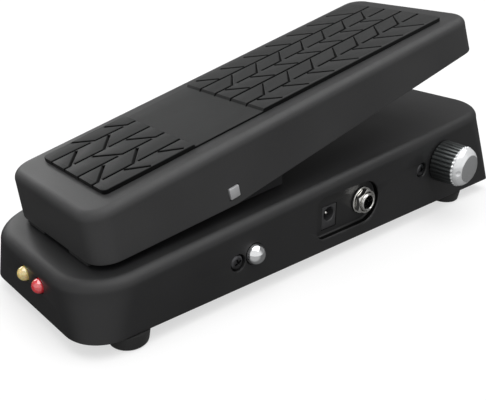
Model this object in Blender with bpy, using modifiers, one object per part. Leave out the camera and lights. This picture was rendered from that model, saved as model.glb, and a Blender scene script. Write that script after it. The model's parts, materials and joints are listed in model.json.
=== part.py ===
"""Rocker effects pedal: a wedge housing, a sprung treadle and an optical control.

Design frame: +Y towards the toe end, +X towards the side with the knob and sockets,
+Z up, Z = 0 under the feet. The root empty moves the design so that the frame's
origin is the centre of the footprint of the whole pedal.
"""
import math

import bmesh
import bpy
from mathutils import Matrix, Vector

MM = 0.001
DEG = math.pi / 180

# Clearances
GAP = 0.3 * MM
RUNNING_GAP = 0.1 * MM

# Whole pedal: where the middle of its bounding box lies in the design frame
CENTRE_X = 7.525 * MM
CENTRE_Y = -1.45 * MM

# Housing: a drafted wedge with a rounded rim, open underneath
BASE_LENGTH = 250 * MM
BASE_WIDTH = 86 * MM
BASE_TAPER = 0.044
BASE_BOTTOM = 6 * MM
HEEL_HEIGHT = 27.7 * MM
TOE_HEIGHT = 49 * MM
BASE_WALL = 3 * MM
BASE_RIM = 4.5 * MM
SIDE_DRAFT = 0.028
TOE_DRAFT = 0.121
HEEL_CORNER_LOW = 15.4 * MM
HEEL_CORNER_HIGH = 22.7 * MM
TOE_CORNER_LOW = 3 * MM
TOE_CORNER_HIGH = 21.2 * MM

# Bottom plate
PLATE_THICKNESS = 1.5 * MM
PLATE_BOTTOM = BASE_BOTTOM + GAP
PLATE_TOP = PLATE_BOTTOM + PLATE_THICKNESS

# Feet
FOOT_X = 35.3 * MM
FOOT_HEEL_Y = -104.4 * MM
FOOT_TOE_Y = 95.7 * MM

# Screws through the sides of the housing: (Y, Z)
SIDE_SCREWS = ((-57.1 * MM, 17.9 * MM), (61 * MM, 27 * MM))
COUNTERBORE_RADIUS = 3.75 * MM
COUNTERBORE_DEPTH = 1.8 * MM

# Treadle pivot and travel
PIVOT_Y = -52.7 * MM
PIVOT_Z = 44.75 * MM
REST_TILT = 12.4 * DEG

# Treadle, in its own frame: origin on the pivot, +Y along the top, +Z square to it
TREADLE_HEEL = -60.3 * MM
TREADLE_TOE = 158.1 * MM
TREADLE_TOP = 19.6 * MM
TREADLE_WIDTH = 70 * MM
TREADLE_TAPER = 0.169
TREADLE_WALL = 2.5 * MM
TREADLE_RIM = 3.8 * MM
TREADLE_CORNER = 10 * MM
TREADLE_SIDE_DRAFT = 0.062
TREADLE_END_DRAFT = 0.073
SKIRT_HEEL = -0.7 * MM
SKIRT_WAIST = -5.8 * MM
SKIRT_TOE = 2.4 * MM
WAIST_Y = 0.4 * MM

# Tread mat, in the treadle's frame
MAT_HEEL = -47 * MM
MAT_HEEL_GRIP_END = -6.6 * MM
MAT_TOE_GRIP_START = 28.6 * MM
MAT_TOE = 144.6 * MM
MAT_HEEL_WIDTH = 46.8 * MM
MAT_TOE_WIDTH = 58 * MM
MAT_GRIP = 1.9 * MM
MAT_PANEL = 0.9 * MM
MAT_CORNER = 1.5 * MM

# Square pivot shaft and its bushes
SHAFT_SIZE = 4.8 * MM
SHAFT_LENGTH = 70.8 * MM
BUSH_RADIUS = 5 * MM
BUSH_FLANGE_RADIUS = 7 * MM

# Pivot bracket on top of the housing
BRACKET_WIDTH = 55 * MM
BRACKET_HEEL = -86 * MM
BRACKET_TOE = -19.6 * MM
BRACKET_FLOOR = 2.5 * MM
BRACKET_CHEEK = 4 * MM
BRACKET_TOE_WALL_TOP = 45 * MM
BRACKET_HEEL_WALL_TOP = 37 * MM
BRACKET_EYE_RADIUS = 8 * MM
BRACKET_SCREWS = ((-15 * MM, -76 * MM), (15 * MM, -27.5 * MM))

# Return spring between the bracket and the treadle
SPRING_Y = -33 * MM
SPRING_BOTTOM = 40.3 * MM
SPRING_TOP = 57.7 * MM
SPRING_RADIUS = 5 * MM
SPRING_WIRE = 0.6 * MM
SPRING_TURNS = 6
SPRING_SEAT_RADIUS = 7 * MM

# Shutter vane and optical pick-up
VANE_RADIUS = 28.5 * MM
VANE_THICKNESS = 1.6 * MM
VANE_HUB_RADIUS = 7 * MM
VANE_SLOT_HEEL = -61 * MM
VANE_SLOT_TOE = -41 * MM
VANE_SLOT_WIDTH = 4 * MM
OPTO_Z = 19.8 * MM

# Rubber bumpers that stop the treadle at both ends of its travel
TOE_BUMPER_X = 20 * MM
TOE_BUMPER_Y = 140 * MM
TOE_BUMPER_TOP = 4 * MM
TOE_BUMPER_BOTTOM = -1.7 * MM
HEEL_BUMPER_X = 17 * MM
HEEL_BUMPER_Y = -109.6 * MM

# Main circuit board
BOARD_BOTTOM = 11.1 * MM
BOARD_TOP = 12.7 * MM
BOARD_HEEL = -82 * MM
BOARD_TOE = 42 * MM
BOARD_WIDTH = 68 * MM
BOARD_SCREW_X = 29 * MM
BOARD_SCREWS_Y = (-76 * MM, 36 * MM)
ON_BOARD = BOARD_TOP + GAP

# Socket pocket in the side, with the mains adaptor socket and a jack in it
POCKET_HEEL = -12.5 * MM
POCKET_TOE = 28.5 * MM
POCKET_BOTTOM = 12.1 * MM
POCKET_TOP = 32.2 * MM
POCKET_HEEL_RADIUS = 5 * MM
POCKET_FLOOR_X = 39.6 * MM
POCKET_BACK_X = 36.6 * MM
JACK_Y = 19.6 * MM
JACK_Z = 22.3 * MM
JACK_THREAD = 4.3 * MM
JACK_BORE = 3.25 * MM
JACK_TIP_X = 44.3 * MM
JACK_WASHER_RADIUS = 6.45 * MM
JACK_NUT_RADIUS = 6.2 * MM
POWER_Y = -2.07 * MM
POWER_Z = 20.3 * MM
POWER_WIDTH = 9.1 * MM
POWER_HEIGHT = 11 * MM
POWER_BORE = 3.2 * MM
POWER_BORE_Z = 21.5 * MM

# Knob and its potentiometer
KNOB_Y = 76.8 * MM
KNOB_Z = 28.5 * MM
KNOB_RADIUS = 10.5 * MM
KNOB_FRONT_RADIUS = 6.4 * MM
KNOB_BACK_X = 43.4 * MM
KNOB_FRONT_X = 59.35 * MM
KNOB_FLUTES = 30
FLUTE_DEPTH = 0.5 * MM

# Push button
BUTTON_Y = -48.4 * MM
BUTTON_Z = 19.1 * MM
BUTTON_RADIUS = 4.5 * MM
BUTTON_SKIRT = 5.2 * MM

# Indicator lamps on the heel face
LAMP_RADIUS = 2.9 * MM
LAMP_Z = 19.6 * MM
LAMPS = {"led_amber": -2.7 * MM, "led_red": 9.4 * MM}

# Battery
BATTERY_SIZE = Vector((48.5, 26.5, 17.5)) * MM
BATTERY_CENTRE = Vector((2.2, 103.2, 17.1)) * MM

# Directions that a part built along +Z can be turned to
UP = (0, 0, 0)
DOWN = (math.pi, 0, 0)
RIGHT = (0, math.pi / 2, 0)
LEFT = (0, -math.pi / 2, 0)
TO_HEEL = (math.pi / 2, 0, 0)

PALETTE = {
    "housing_paint": ((0.028, 0.028, 0.030), 0.42, 0.0),
    "treadle_paint": ((0.030, 0.030, 0.032), 0.42, 0.0),
    "bracket_paint": ((0.020, 0.020, 0.022), 0.55, 0.0),
    "tread_rubber": ((0.050, 0.050, 0.050), 0.75, 0.0),
    "foot_rubber": ((0.022, 0.022, 0.022), 0.80, 0.0),
    "bumper_rubber": ((0.040, 0.040, 0.040), 0.85, 0.0),
    "zinc_plate": ((0.55, 0.56, 0.57), 0.38, 1.0),
    "black_screw": ((0.045, 0.045, 0.048), 0.35, 0.8),
    "shaft_steel": ((0.62, 0.62, 0.63), 0.25, 1.0),
    "spring_steel": ((0.50, 0.50, 0.52), 0.30, 1.0),
    "chrome": ((0.80, 0.81, 0.83), 0.08, 1.0),
    "nickel": ((0.70, 0.69, 0.66), 0.20, 1.0),
    "acetal": ((0.78, 0.77, 0.72), 0.45, 0.0),
    "black_plastic": ((0.025, 0.025, 0.027), 0.50, 0.0),
    "grey_plastic": ((0.16, 0.16, 0.17), 0.55, 0.0),
    "board_green": ((0.02, 0.16, 0.07), 0.45, 0.0),
    "pot_steel": ((0.58, 0.57, 0.54), 0.35, 1.0),
    "amber_lens": ((0.95, 0.55, 0.08), 0.12, 0.0),
    "red_lens": ((0.85, 0.03, 0.03), 0.12, 0.0),
    "clear_lens": ((0.80, 0.85, 0.90), 0.10, 0.0),
    "battery_wrap": ((0.10, 0.10, 0.12), 0.35, 0.2),
    "wire_sleeve": ((0.30, 0.03, 0.03), 0.50, 0.0),
}


# ---------------------------------------------------------------- scene set-up

def clear_scene():
    for item in list(bpy.data.objects):
        bpy.data.objects.remove(item, do_unlink=True)


def make_collection(name):
    collection = bpy.data.collections.new(name)
    bpy.context.scene.collection.children.link(collection)
    return collection


def make_materials():
    materials = {}
    for name, (colour, roughness, metallic) in PALETTE.items():
        material = bpy.data.materials.new(name)
        material.use_nodes = True
        material.diffuse_color = (*colour, 1)
        shader = material.node_tree.nodes["Principled BSDF"]
        shader.inputs["Base Color"].default_value = (*colour, 1)
        shader.inputs["Roughness"].default_value = roughness
        shader.inputs["Metallic"].default_value = metallic
        materials[name] = material
    return materials


def make_empty(name, location, rotation=UP, parent=None):
    empty = bpy.data.objects.new(name, None)
    empty.location = location
    empty.rotation_euler = rotation
    empty.parent = parent
    PARTS.objects.link(empty)
    return empty


clear_scene()
PARTS = make_collection("rocker_pedal")
CUTTERS = make_collection("pedal_cutters")
MATERIALS = make_materials()
ROOT = make_empty("pedal_origin", (-CENTRE_X, -CENTRE_Y, 0))
TREADLE = make_empty("treadle_pivot", (0, PIVOT_Y, PIVOT_Z), (REST_TILT, 0, 0), ROOT)


# ---------------------------------------------------------------- modelling tools

def add_part(name, data, slot, location=(0, 0, 0), rotation=UP, parent=ROOT):
    data.materials.append(MATERIALS[slot])
    part = bpy.data.objects.new(name, data)
    part.location = location
    part.rotation_euler = rotation
    part.parent = parent
    PARTS.objects.link(part)
    return part


def add_cutter(name, mesh, parent=ROOT):
    cutter = bpy.data.objects.new(name, mesh)
    cutter.parent = parent
    cutter.hide_render = True
    cutter.display_type = "WIRE"
    CUTTERS.objects.link(cutter)
    return cutter


def apply_boolean(part, cutter, operation="DIFFERENCE"):
    modifier = part.modifiers.new(cutter.name, "BOOLEAN")
    modifier.operation = operation
    modifier.solver = "EXACT"
    modifier.object = cutter


def finish_mesh(name, bm):
    bmesh.ops.recalc_face_normals(bm, faces=bm.faces)
    mesh = bpy.data.meshes.new(name)
    bm.to_mesh(mesh)
    bm.free()
    return mesh


def skin_rings(bm, rings):
    """Skin a closed body over rings that have the same number of points."""
    loops = [[bm.verts.new(point) for point in ring] for ring in rings]
    count = len(loops[0])
    for lower, upper in zip(loops, loops[1:]):
        for step in range(count):
            after = (step + 1) % count
            bm.faces.new((lower[step], lower[after], upper[after], upper[step]))
    bm.faces.new(loops[0])
    bm.faces.new(loops[-1])


def loft(name, rings):
    bm = bmesh.new()
    skin_rings(bm, rings)
    return finish_mesh(name, bm)


def slab_across(name, outline, left, right):
    """A flat outline in Y and Z, given its thickness along X."""
    return loft(name, [[(x, y, z) for y, z in outline] for x in (left, right)])


def box(name, low, high):
    """A box between two opposite corners."""
    bm = bmesh.new()
    add_box(bm, low, high)
    return finish_mesh(name, bm)


def add_box(bm, low, high):
    low, high = Vector(low), Vector(high)
    place = Matrix.Translation((low + high) / 2) @ Matrix.Diagonal((*(high - low), 1))
    bmesh.ops.create_cube(bm, size=1, matrix=place)


def add_cylinder(bm, start, rotation, radius, length, segments=24):
    """A cylinder that grows from its start along the turned +Z axis."""
    turn = Matrix.Rotation(rotation[1], 4, "Y") @ Matrix.Rotation(rotation[0], 4, "X")
    place = Matrix.Translation(start) @ turn @ Matrix.Translation((0, 0, length / 2))
    bmesh.ops.create_cone(
        bm, cap_ends=True, segments=segments, radius1=radius, radius2=radius, depth=length, matrix=place
    )


def cylinders(name, items, segments=24):
    bm = bmesh.new()
    for start, rotation, radius, length in items:
        add_cylinder(bm, start, rotation, radius, length, segments)
    return finish_mesh(name, bm)


def boxes(name, corners):
    bm = bmesh.new()
    for low, high in corners:
        add_box(bm, low, high)
    return finish_mesh(name, bm)


def turned(name, profile, slot, location, rotation=UP, parent=ROOT, steps=24, ring=False):
    """A body turned from a profile of (radius, height) points, from its top down."""
    edges = [(index, index + 1) for index in range(len(profile) - 1)]
    if ring:
        edges.append((len(profile) - 1, 0))
    mesh = bpy.data.meshes.new(name)
    mesh.from_pydata([(radius, 0, height) for radius, height in profile], edges, [])
    part = add_part(name, mesh, slot, location, rotation, parent)
    screw = part.modifiers.new("turn", "SCREW")
    screw.steps = steps
    screw.render_steps = steps
    screw.use_merge_vertices = True
    screw.merge_threshold = 0.00001
    return part


def tube(name, points, radius, slot, resolution=2):
    curve = bpy.data.curves.new(name, "CURVE")
    curve.dimensions = "3D"
    curve.bevel_depth = radius
    curve.bevel_resolution = resolution
    curve.use_fill_caps = True
    curve.resolution_u = 5
    spline = curve.splines.new("BEZIER")
    spline.bezier_points.add(len(points) - 1)
    for knot, point in zip(spline.bezier_points, points):
        knot.co = point
        knot.handle_left_type = "AUTO"
        knot.handle_right_type = "AUTO"
    return add_part(name, curve, slot)


def arc(centre_a, centre_b, radius, start, end, steps):
    """Points on an arc in a plane, from one angle in degrees to another."""
    angles = [math.radians(start + (end - start) * step / steps) for step in range(steps + 1)]
    return [(centre_a + radius * math.cos(a), centre_b + radius * math.sin(a)) for a in angles]


def plan_outline(half_width, heel, toe, heel_radius, toe_radius, waist):
    """A round-cornered outline from above, with a point on each side at the waist."""
    right_heel = arc(half_width - heel_radius, heel + heel_radius, heel_radius, -90, 0, 6)
    right_toe = arc(half_width - toe_radius, toe - toe_radius, toe_radius, 0, 90, 6)
    right = right_heel + [(half_width, waist)] + right_toe
    return right + [(-x, y) for x, y in reversed(right)]


# ---------------------------------------------------------------- housing

def wedge_top(y):
    return HEEL_HEIGHT + (TOE_HEIGHT - HEEL_HEIGHT) * (y / BASE_LENGTH + 0.5)


WEDGE_SLOPE = math.atan((TOE_HEIGHT - HEEL_HEIGHT) / BASE_LENGTH)


def base_outline(rise, inset):
    """The housing's outline at a share of the wall's height, moved inwards by inset."""
    wall = wedge_top(0) - BASE_RIM - BASE_BOTTOM
    toe_wall = TOE_HEIGHT - BASE_RIM - BASE_BOTTOM
    half_width = BASE_WIDTH / 2 - SIDE_DRAFT * wall * rise - inset
    heel = -BASE_LENGTH / 2 + inset
    toe = BASE_LENGTH / 2 - TOE_DRAFT * toe_wall * rise - inset
    heel_radius = HEEL_CORNER_LOW + (HEEL_CORNER_HIGH - HEEL_CORNER_LOW) * rise - inset
    toe_radius = TOE_CORNER_LOW + (TOE_CORNER_HIGH - TOE_CORNER_LOW) * rise - inset
    points = plan_outline(half_width, heel, toe, heel_radius, max(toe_radius, MM), 0)
    return [(x * (1 + BASE_TAPER * y / BASE_LENGTH), y) for x, y in points]


def outer_half_width(y, z):
    """Half the housing's outside width at a place on its side."""
    return (BASE_WIDTH / 2 - SIDE_DRAFT * (z - BASE_BOTTOM)) * (1 + BASE_TAPER * y / BASE_LENGTH)


def base_rings():
    ceiling = [(x, y, wedge_top(y) - BASE_WALL) for x, y in base_outline(1, BASE_WALL)]
    inner_edge = [(x, y, BASE_BOTTOM) for x, y in base_outline(0, BASE_WALL)]
    outer_edge = [(x, y, BASE_BOTTOM) for x, y in base_outline(0, 0)]
    rings = [ceiling, inner_edge, outer_edge]
    for inset, rise in arc(BASE_RIM, 0, BASE_RIM, 180, 90, 4):
        outline = base_outline(1, inset)
        rings.append([(x, y, wedge_top(y) - BASE_RIM + rise) for x, y in outline])
    return rings


def pocket_outline(grow):
    """The socket pocket's outline in Y and Z, made larger all round by grow."""
    middle = (POCKET_BOTTOM + POCKET_TOP) / 2
    toe_radius = (POCKET_TOP - POCKET_BOTTOM) / 2
    heel_radius = POCKET_HEEL_RADIUS
    bottom = POCKET_BOTTOM + heel_radius
    top = POCKET_TOP - heel_radius
    heel = POCKET_HEEL + heel_radius
    points = arc(POCKET_TOE - toe_radius, middle, toe_radius + grow, -90, 90, 10)
    points += arc(heel, top, heel_radius + grow, 90, 180, 4)
    points += arc(heel, bottom, heel_radius + grow, 180, 270, 4)
    return points


def pocket_backing():
    """The thick patch behind the pocket, and the round one behind the far jack."""
    bm = bmesh.new()
    overlap = POCKET_FLOOR_X + MM
    skin_rings(bm, [[(x, y, z) for y, z in pocket_outline(2.5 * MM)] for x in (POCKET_BACK_X, overlap)])
    add_cylinder(bm, (-POCKET_BACK_X, JACK_Y, JACK_Z), LEFT, 12 * MM, overlap - POCKET_BACK_X, 32)
    return finish_mesh("pocket_backing", bm)


def pocket_recess():
    bm = bmesh.new()
    depths = ((POCKET_FLOOR_X, 0), (43.5 * MM, 0.4 * MM), (46 * MM, 0.4 * MM))
    skin_rings(bm, [[(x, y, z) for y, z in pocket_outline(grow)] for x, grow in depths])
    add_cylinder(bm, (-POCKET_FLOOR_X, JACK_Y, JACK_Z), LEFT, 9.6 * MM, 6 * MM, 32)
    return finish_mesh("pocket_recess", bm)


def side_bores():
    """Clearance holes through both sides and the heel face."""
    through = 10 * MM
    start_x = 35 * MM
    items = []
    for y, z in SIDE_SCREWS:
        items.append(((start_x, y, z), RIGHT, 1.8 * MM, through))
        items.append(((-start_x, y, z), LEFT, 1.8 * MM, through))
    items.append(((start_x, JACK_Y, JACK_Z), RIGHT, JACK_THREAD + GAP, through))
    items.append(((-start_x, JACK_Y, JACK_Z), LEFT, JACK_THREAD + GAP, through))
    items.append(((start_x, BUTTON_Y, BUTTON_Z), RIGHT, BUTTON_RADIUS + GAP, through))
    items.append(((start_x, KNOB_Y, KNOB_Z), RIGHT, 3.8 * MM, through))
    heel = -BASE_LENGTH / 2 + 8 * MM
    for x in LAMPS.values():
        items.append(((x, heel, LAMP_Z), TO_HEEL, LAMP_RADIUS + GAP, through))
    return cylinders("side_bores", items)


def counterbores():
    items = []
    for y, z in SIDE_SCREWS:
        x = outer_half_width(y, z) - COUNTERBORE_DEPTH
        items.append(((x, y, z), RIGHT, COUNTERBORE_RADIUS, 6 * MM))
        items.append(((-x, y, z), LEFT, COUNTERBORE_RADIUS, 6 * MM))
    return cylinders("counterbores", items)


def power_opening():
    half_width = POWER_WIDTH / 2 + GAP
    half_height = POWER_HEIGHT / 2 + GAP
    return (
        (35 * MM, POWER_Y - half_width, POWER_Z - half_height),
        (POCKET_FLOOR_X + MM, POWER_Y + half_width, POWER_Z + half_height),
    )


def vane_slot():
    half = VANE_SLOT_WIDTH / 2
    return ((-half, VANE_SLOT_HEEL, 20 * MM), (half, VANE_SLOT_TOE, 60 * MM))


def bracket_screw_bores():
    """Holes square to the sloping top, for the screws that hold the bracket."""
    bm = bmesh.new()
    for x, y in BRACKET_SCREWS:
        low = (x, y + 8 * MM * math.sin(WEDGE_SLOPE), wedge_top(y) - 8 * MM)
        add_cylinder(bm, low, (WEDGE_SLOPE, 0, 0), 1.8 * MM, 16 * MM)
    return finish_mesh("bracket_screw_bores", bm)


def build_housing():
    housing = add_part("base_housing", loft("base_housing", base_rings()), "housing_paint")
    apply_boolean(housing, add_cutter("pocket_backing", pocket_backing()), "UNION")
    apply_boolean(housing, add_cutter("pocket_recess", pocket_recess()))
    apply_boolean(housing, add_cutter("side_bores", side_bores()))
    apply_boolean(housing, add_cutter("counterbores", counterbores()))
    slots = add_cutter("housing_slots", boxes("housing_slots", (power_opening(), vane_slot())))
    apply_boolean(housing, slots)
    apply_boolean(housing, add_cutter("bracket_screw_bores", bracket_screw_bores()))


# ---------------------------------------------------------------- bottom plate and feet

def plate_features():
    """Ears for the side screws, stand-offs for the board and a tab for the lamp board."""
    bm = bmesh.new()
    base = PLATE_TOP - 0.5 * MM
    for y, z in SIDE_SCREWS:
        for side in (-1, 1):
            outer = side * (outer_half_width(y, z) - BASE_WALL - 2 * GAP)
            inner = outer - side * 1.6 * MM
            low = (min(outer, inner), y - 2.9 * MM, base)
            high = (max(outer, inner), y + 2.9 * MM, z + 4 * MM)
            add_box(bm, low, high)
    for y in BOARD_SCREWS_Y:
        for side in (-1, 1):
            height = BOARD_BOTTOM - GAP - base
            add_cylinder(bm, (side * BOARD_SCREW_X, y, base), UP, 3 * MM, height, 16)
    add_box(bm, (-8 * MM, -114.9 * MM, base), (14 * MM, -113.6 * MM, 19 * MM))
    return finish_mesh("plate_features", bm)


def plate_bores():
    items = []
    for side in (-1, 1):
        for y in (FOOT_HEEL_Y, FOOT_TOE_Y):
            items.append(((side * FOOT_X, y, 5 * MM), UP, 1.9 * MM, 5 * MM))
        for y in BOARD_SCREWS_Y:
            items.append(((side * BOARD_SCREW_X, y, 8.5 * MM), UP, 1.5 * MM, 5 * MM))
        for y, z in SIDE_SCREWS:
            items.append(((side * 35 * MM, y, z), RIGHT if side > 0 else LEFT, 1.8 * MM, 7 * MM))
    return cylinders("plate_bores", items, 16)


def build_bottom_plate():
    outline = base_outline(0, BASE_WALL + 2 * GAP)
    rings = [[(x, y, z) for x, y in outline] for z in (PLATE_BOTTOM, PLATE_TOP)]
    plate = add_part("bottom_plate", loft("bottom_plate", rings), "zinc_plate")
    apply_boolean(plate, add_cutter("plate_features", plate_features()), "UNION")
    apply_boolean(plate, add_cutter("plate_bores", plate_bores()))


def build_feet():
    foot_profile = [(1.9, 6), (8.2, 6), (7.5, 0.9), (6.8, 0), (4.2, 0), (4.2, 2.4), (1.9, 2.4)]
    screw_profile = [(0, 9.4), (1.6, 9.4), (1.6, 2.1), (3.6, 2.1), (3.2, 0.8), (0, 0.5)]
    for side, hand in ((1, "right"), (-1, "left")):
        for end, y in (("heel", FOOT_HEEL_Y), ("toe", FOOT_TOE_Y)):
            place = (side * FOOT_X, y, 0)
            profile = [(r * MM, z * MM) for r, z in foot_profile]
            turned(f"foot_{end}_{hand}", profile, "foot_rubber", place, ring=True)
            profile = [(r * MM, z * MM) for r, z in screw_profile]
            turned(f"foot_screw_{end}_{hand}", profile, "black_screw", place, steps=16)


# ---------------------------------------------------------------- screws

def cross_recess(name, top, placement):
    """A cross-shaped driver recess, cut down from the top of a screw's head."""
    reach, half = 1.7 * MM, 0.4 * MM
    corner = [(reach, -half), (reach, half), (half, half)]
    outline = []
    for quarter in range(4):
        turn = Matrix.Rotation(quarter * math.pi / 2, 2)
        outline += [tuple(turn @ Vector(point)) for point in corner]
    bm = bmesh.new()
    skin_rings(bm, [[(x, y, z) for x, y in outline] for z in (top - 1.1 * MM, top + MM)])
    bm.transform(placement)
    return add_cutter(name, finish_mesh(name, bm))


def build_side_screws():
    shank = 1.5 * MM
    head = 3.4 * MM
    for (y, z), end in zip(SIDE_SCREWS, ("heel", "toe")):
        seat = outer_half_width(y, z) - COUNTERBORE_DEPTH + GAP
        for side, hand, rotation in ((1, "right", RIGHT), (-1, "left", LEFT)):
            profile = [(0, 1.4 * MM), (2.2 * MM, 1.3 * MM), (head, 0.5 * MM), (head, 0)]
            profile += [(shank, 0), (shank, -7 * MM), (0, -7 * MM)]
            place = Vector((side * seat, y, z))
            name = f"side_screw_{end}_{hand}"
            screw = turned(name, profile, "black_screw", place, rotation, steps=16)
            turn = Matrix.Rotation(rotation[1], 4, "Y")
            cutter = cross_recess(f"{name}_recess", 1.4 * MM, Matrix.Translation(place) @ turn)
            apply_boolean(screw, cutter)


def build_bracket_screws():
    for (x, y), end in zip(BRACKET_SCREWS, ("heel", "toe")):
        profile = [(0, 4.8), (1.5, 4.8), (1.5, -3.3), (3, -3.3), (2.6, -5), (0, -5.2)]
        profile = [(r * MM, h * MM) for r, h in profile]
        place = (x, y, wedge_top(y))
        turned(f"bracket_screw_{end}", profile, "zinc_plate", place, (WEDGE_SLOPE, 0, 0), steps=16)


def build_board_screws():
    profile = [(0, 1.9), (2, 1.7), (2.6, 0.9), (2.6, 0), (1.2, 0), (1.2, -3.8), (0, -3.8)]
    profile = [(r * MM, h * MM) for r, h in profile]
    for side, hand in ((1, "right"), (-1, "left")):
        for end, y in zip(("heel", "toe"), BOARD_SCREWS_Y):
            place = (side * BOARD_SCREW_X, y, ON_BOARD)
            turned(f"board_screw_{end}_{hand}", profile, "zinc_plate", place, steps=16)


# ---------------------------------------------------------------- pivot bracket and spring

def bracket_profile():
    """The bracket from the side, in Y and Z."""
    foot = GAP
    points = [
        (BRACKET_HEEL, wedge_top(BRACKET_HEEL) + foot),
        (BRACKET_TOE, wedge_top(BRACKET_TOE) + foot),
        (BRACKET_TOE, BRACKET_TOE_WALL_TOP),
    ]
    points += arc(PIVOT_Y, PIVOT_Z, BRACKET_EYE_RADIUS, 70, 110, 4)
    points.append((BRACKET_HEEL, BRACKET_HEEL_WALL_TOP))
    return points


def bracket_hollow():
    """The space between the cheeks, above the floor and behind the toe wall."""
    rise = GAP + BRACKET_FLOOR
    heel = BRACKET_HEEL - MM
    toe = BRACKET_TOE - 3 * MM
    outline = [(heel, wedge_top(heel) + rise), (toe, wedge_top(toe) + rise)]
    outline += [(toe, 60 * MM), (heel, 60 * MM)]
    half = BRACKET_WIDTH / 2 - BRACKET_CHEEK
    return slab_across("bracket_hollow", outline, -half, half)


def build_bracket():
    half = BRACKET_WIDTH / 2
    mesh = slab_across("pivot_bracket", bracket_profile(), -half, half)
    bracket = add_part("pivot_bracket", mesh, "bracket_paint")
    apply_boolean(bracket, add_cutter("bracket_hollow", bracket_hollow()))
    seat_start = (0, SPRING_Y, wedge_top(SPRING_Y) + MM)
    seat_height = SPRING_BOTTOM - GAP - seat_start[2]
    seat = cylinders("spring_seat", [(seat_start, UP, SPRING_SEAT_RADIUS, seat_height)])
    apply_boolean(bracket, add_cutter("spring_seat", seat), "UNION")
    bore_start = (-BRACKET_WIDTH / 2 - MM, PIVOT_Y, PIVOT_Z)
    bore = [(bore_start, RIGHT, BUSH_RADIUS + RUNNING_GAP, BRACKET_WIDTH + 2 * MM)]
    apply_boolean(bracket, add_cutter("bush_bore", cylinders("bush_bore", bore, 32)))
    slot = vane_slot()
    apply_boolean(bracket, add_cutter("bracket_slot", box("bracket_slot", *slot)))
    apply_boolean(bracket, add_cutter("bracket_bores", bracket_screw_bores()))


def build_spring():
    """The return spring: a wire wound on a helix, with its ends closed."""
    steps = 12
    count = SPRING_TURNS * steps
    curve = bpy.data.curves.new("return_spring", "CURVE")
    curve.dimensions = "3D"
    curve.bevel_depth = SPRING_WIRE
    curve.bevel_resolution = 1
    curve.use_fill_caps = True
    spline = curve.splines.new("POLY")
    spline.points.add(count)
    rise = SPRING_TOP - SPRING_BOTTOM - 2 * SPRING_WIRE
    for index, point in enumerate(spline.points):
        turn = 2 * math.pi * index / steps
        height = SPRING_BOTTOM + SPRING_WIRE + rise * index / count
        x = SPRING_RADIUS * math.cos(turn)
        y = SPRING_Y + SPRING_RADIUS * math.sin(turn)
        point.co = (x, y, height, 1)
    add_part("return_spring", curve, "spring_steel")


# ---------------------------------------------------------------- treadle

def treadle_outline(depth, inset):
    """The treadle's outline at a depth below its rim, moved inwards by inset."""
    half_width = TREADLE_WIDTH / 2 + TREADLE_SIDE_DRAFT * depth - inset
    heel = TREADLE_HEEL - TREADLE_END_DRAFT * depth + inset
    toe = TREADLE_TOE + TREADLE_END_DRAFT * depth - inset
    radius = max(TREADLE_CORNER - inset, 2 * MM)
    length = TREADLE_TOE - TREADLE_HEEL
    middle = (TREADLE_TOE + TREADLE_HEEL) / 2 - 5.2 * MM
    points = plan_outline(half_width, heel, toe, radius, radius, WAIST_Y)
    return [(x * (1 + TREADLE_TAPER * (y - middle) / length), y) for x, y in points]


def skirt_edge(y):
    """Height of the skirt's lower edge, which is deepest at the waist."""
    if y < WAIST_Y:
        share = (WAIST_Y - y) / (WAIST_Y - TREADLE_HEEL)
        return SKIRT_WAIST + (SKIRT_HEEL - SKIRT_WAIST) * share
    share = (y - WAIST_Y) / (TREADLE_TOE - WAIST_Y)
    return SKIRT_WAIST + (SKIRT_TOE - SKIRT_WAIST) * share


def treadle_rings():
    skirt = TREADLE_TOP - TREADLE_RIM - SKIRT_WAIST
    ceiling = TREADLE_TOP - TREADLE_WALL
    rings = [
        [(x, y, ceiling) for x, y in treadle_outline(0, TREADLE_WALL)],
        [(x, y, skirt_edge(y)) for x, y in treadle_outline(skirt, TREADLE_WALL)],
        [(x, y, skirt_edge(y)) for x, y in treadle_outline(skirt, 0)],
    ]
    for inset, rise in arc(TREADLE_RIM, 0, TREADLE_RIM, 180, 90, 4):
        height = TREADLE_TOP - TREADLE_RIM + rise
        rings.append([(x, y, height) for x, y in treadle_outline(0, inset)])
    return rings


def treadle_bosses():
    """A post for the spring, upright at rest, and two posts for the toe bumpers."""
    bm = bmesh.new()
    to_local = TREADLE.matrix_basis.inverted()
    post_foot = to_local @ Vector((0, SPRING_Y, SPRING_TOP + GAP))
    add_cylinder(bm, post_foot, (-REST_TILT, 0, 0), SPRING_SEAT_RADIUS, 9.5 * MM)
    for side in (-1, 1):
        start = (side * TOE_BUMPER_X, TOE_BUMPER_Y, TOE_BUMPER_TOP)
        add_cylinder(bm, start, UP, 5 * MM, TREADLE_TOP - MM - TOE_BUMPER_TOP, 20)
    return finish_mesh("treadle_bosses", bm)


def shaft_hole(size, half_length):
    half = size / 2
    return ((-half_length, -half, -half), (half_length, half, half))


def build_treadle():
    mesh = loft("treadle_shell", treadle_rings())
    shell = add_part("treadle_shell", mesh, "treadle_paint", parent=TREADLE)
    apply_boolean(shell, add_cutter("treadle_bosses", treadle_bosses(), TREADLE), "UNION")
    hole = box("shaft_holes", *shaft_hole(SHAFT_SIZE + 2 * GAP, 45 * MM))
    apply_boolean(shell, add_cutter("shaft_holes", hole, TREADLE))
    shaft = box("pivot_shaft", *shaft_hole(SHAFT_SIZE, SHAFT_LENGTH / 2))
    add_part("pivot_shaft", shaft, "shaft_steel", parent=TREADLE)


def mat_half_width(y):
    share = (y - MAT_HEEL) / (MAT_TOE - MAT_HEEL)
    return (MAT_HEEL_WIDTH + (MAT_TOE_WIDTH - MAT_HEEL_WIDTH) * share) / 2


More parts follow.
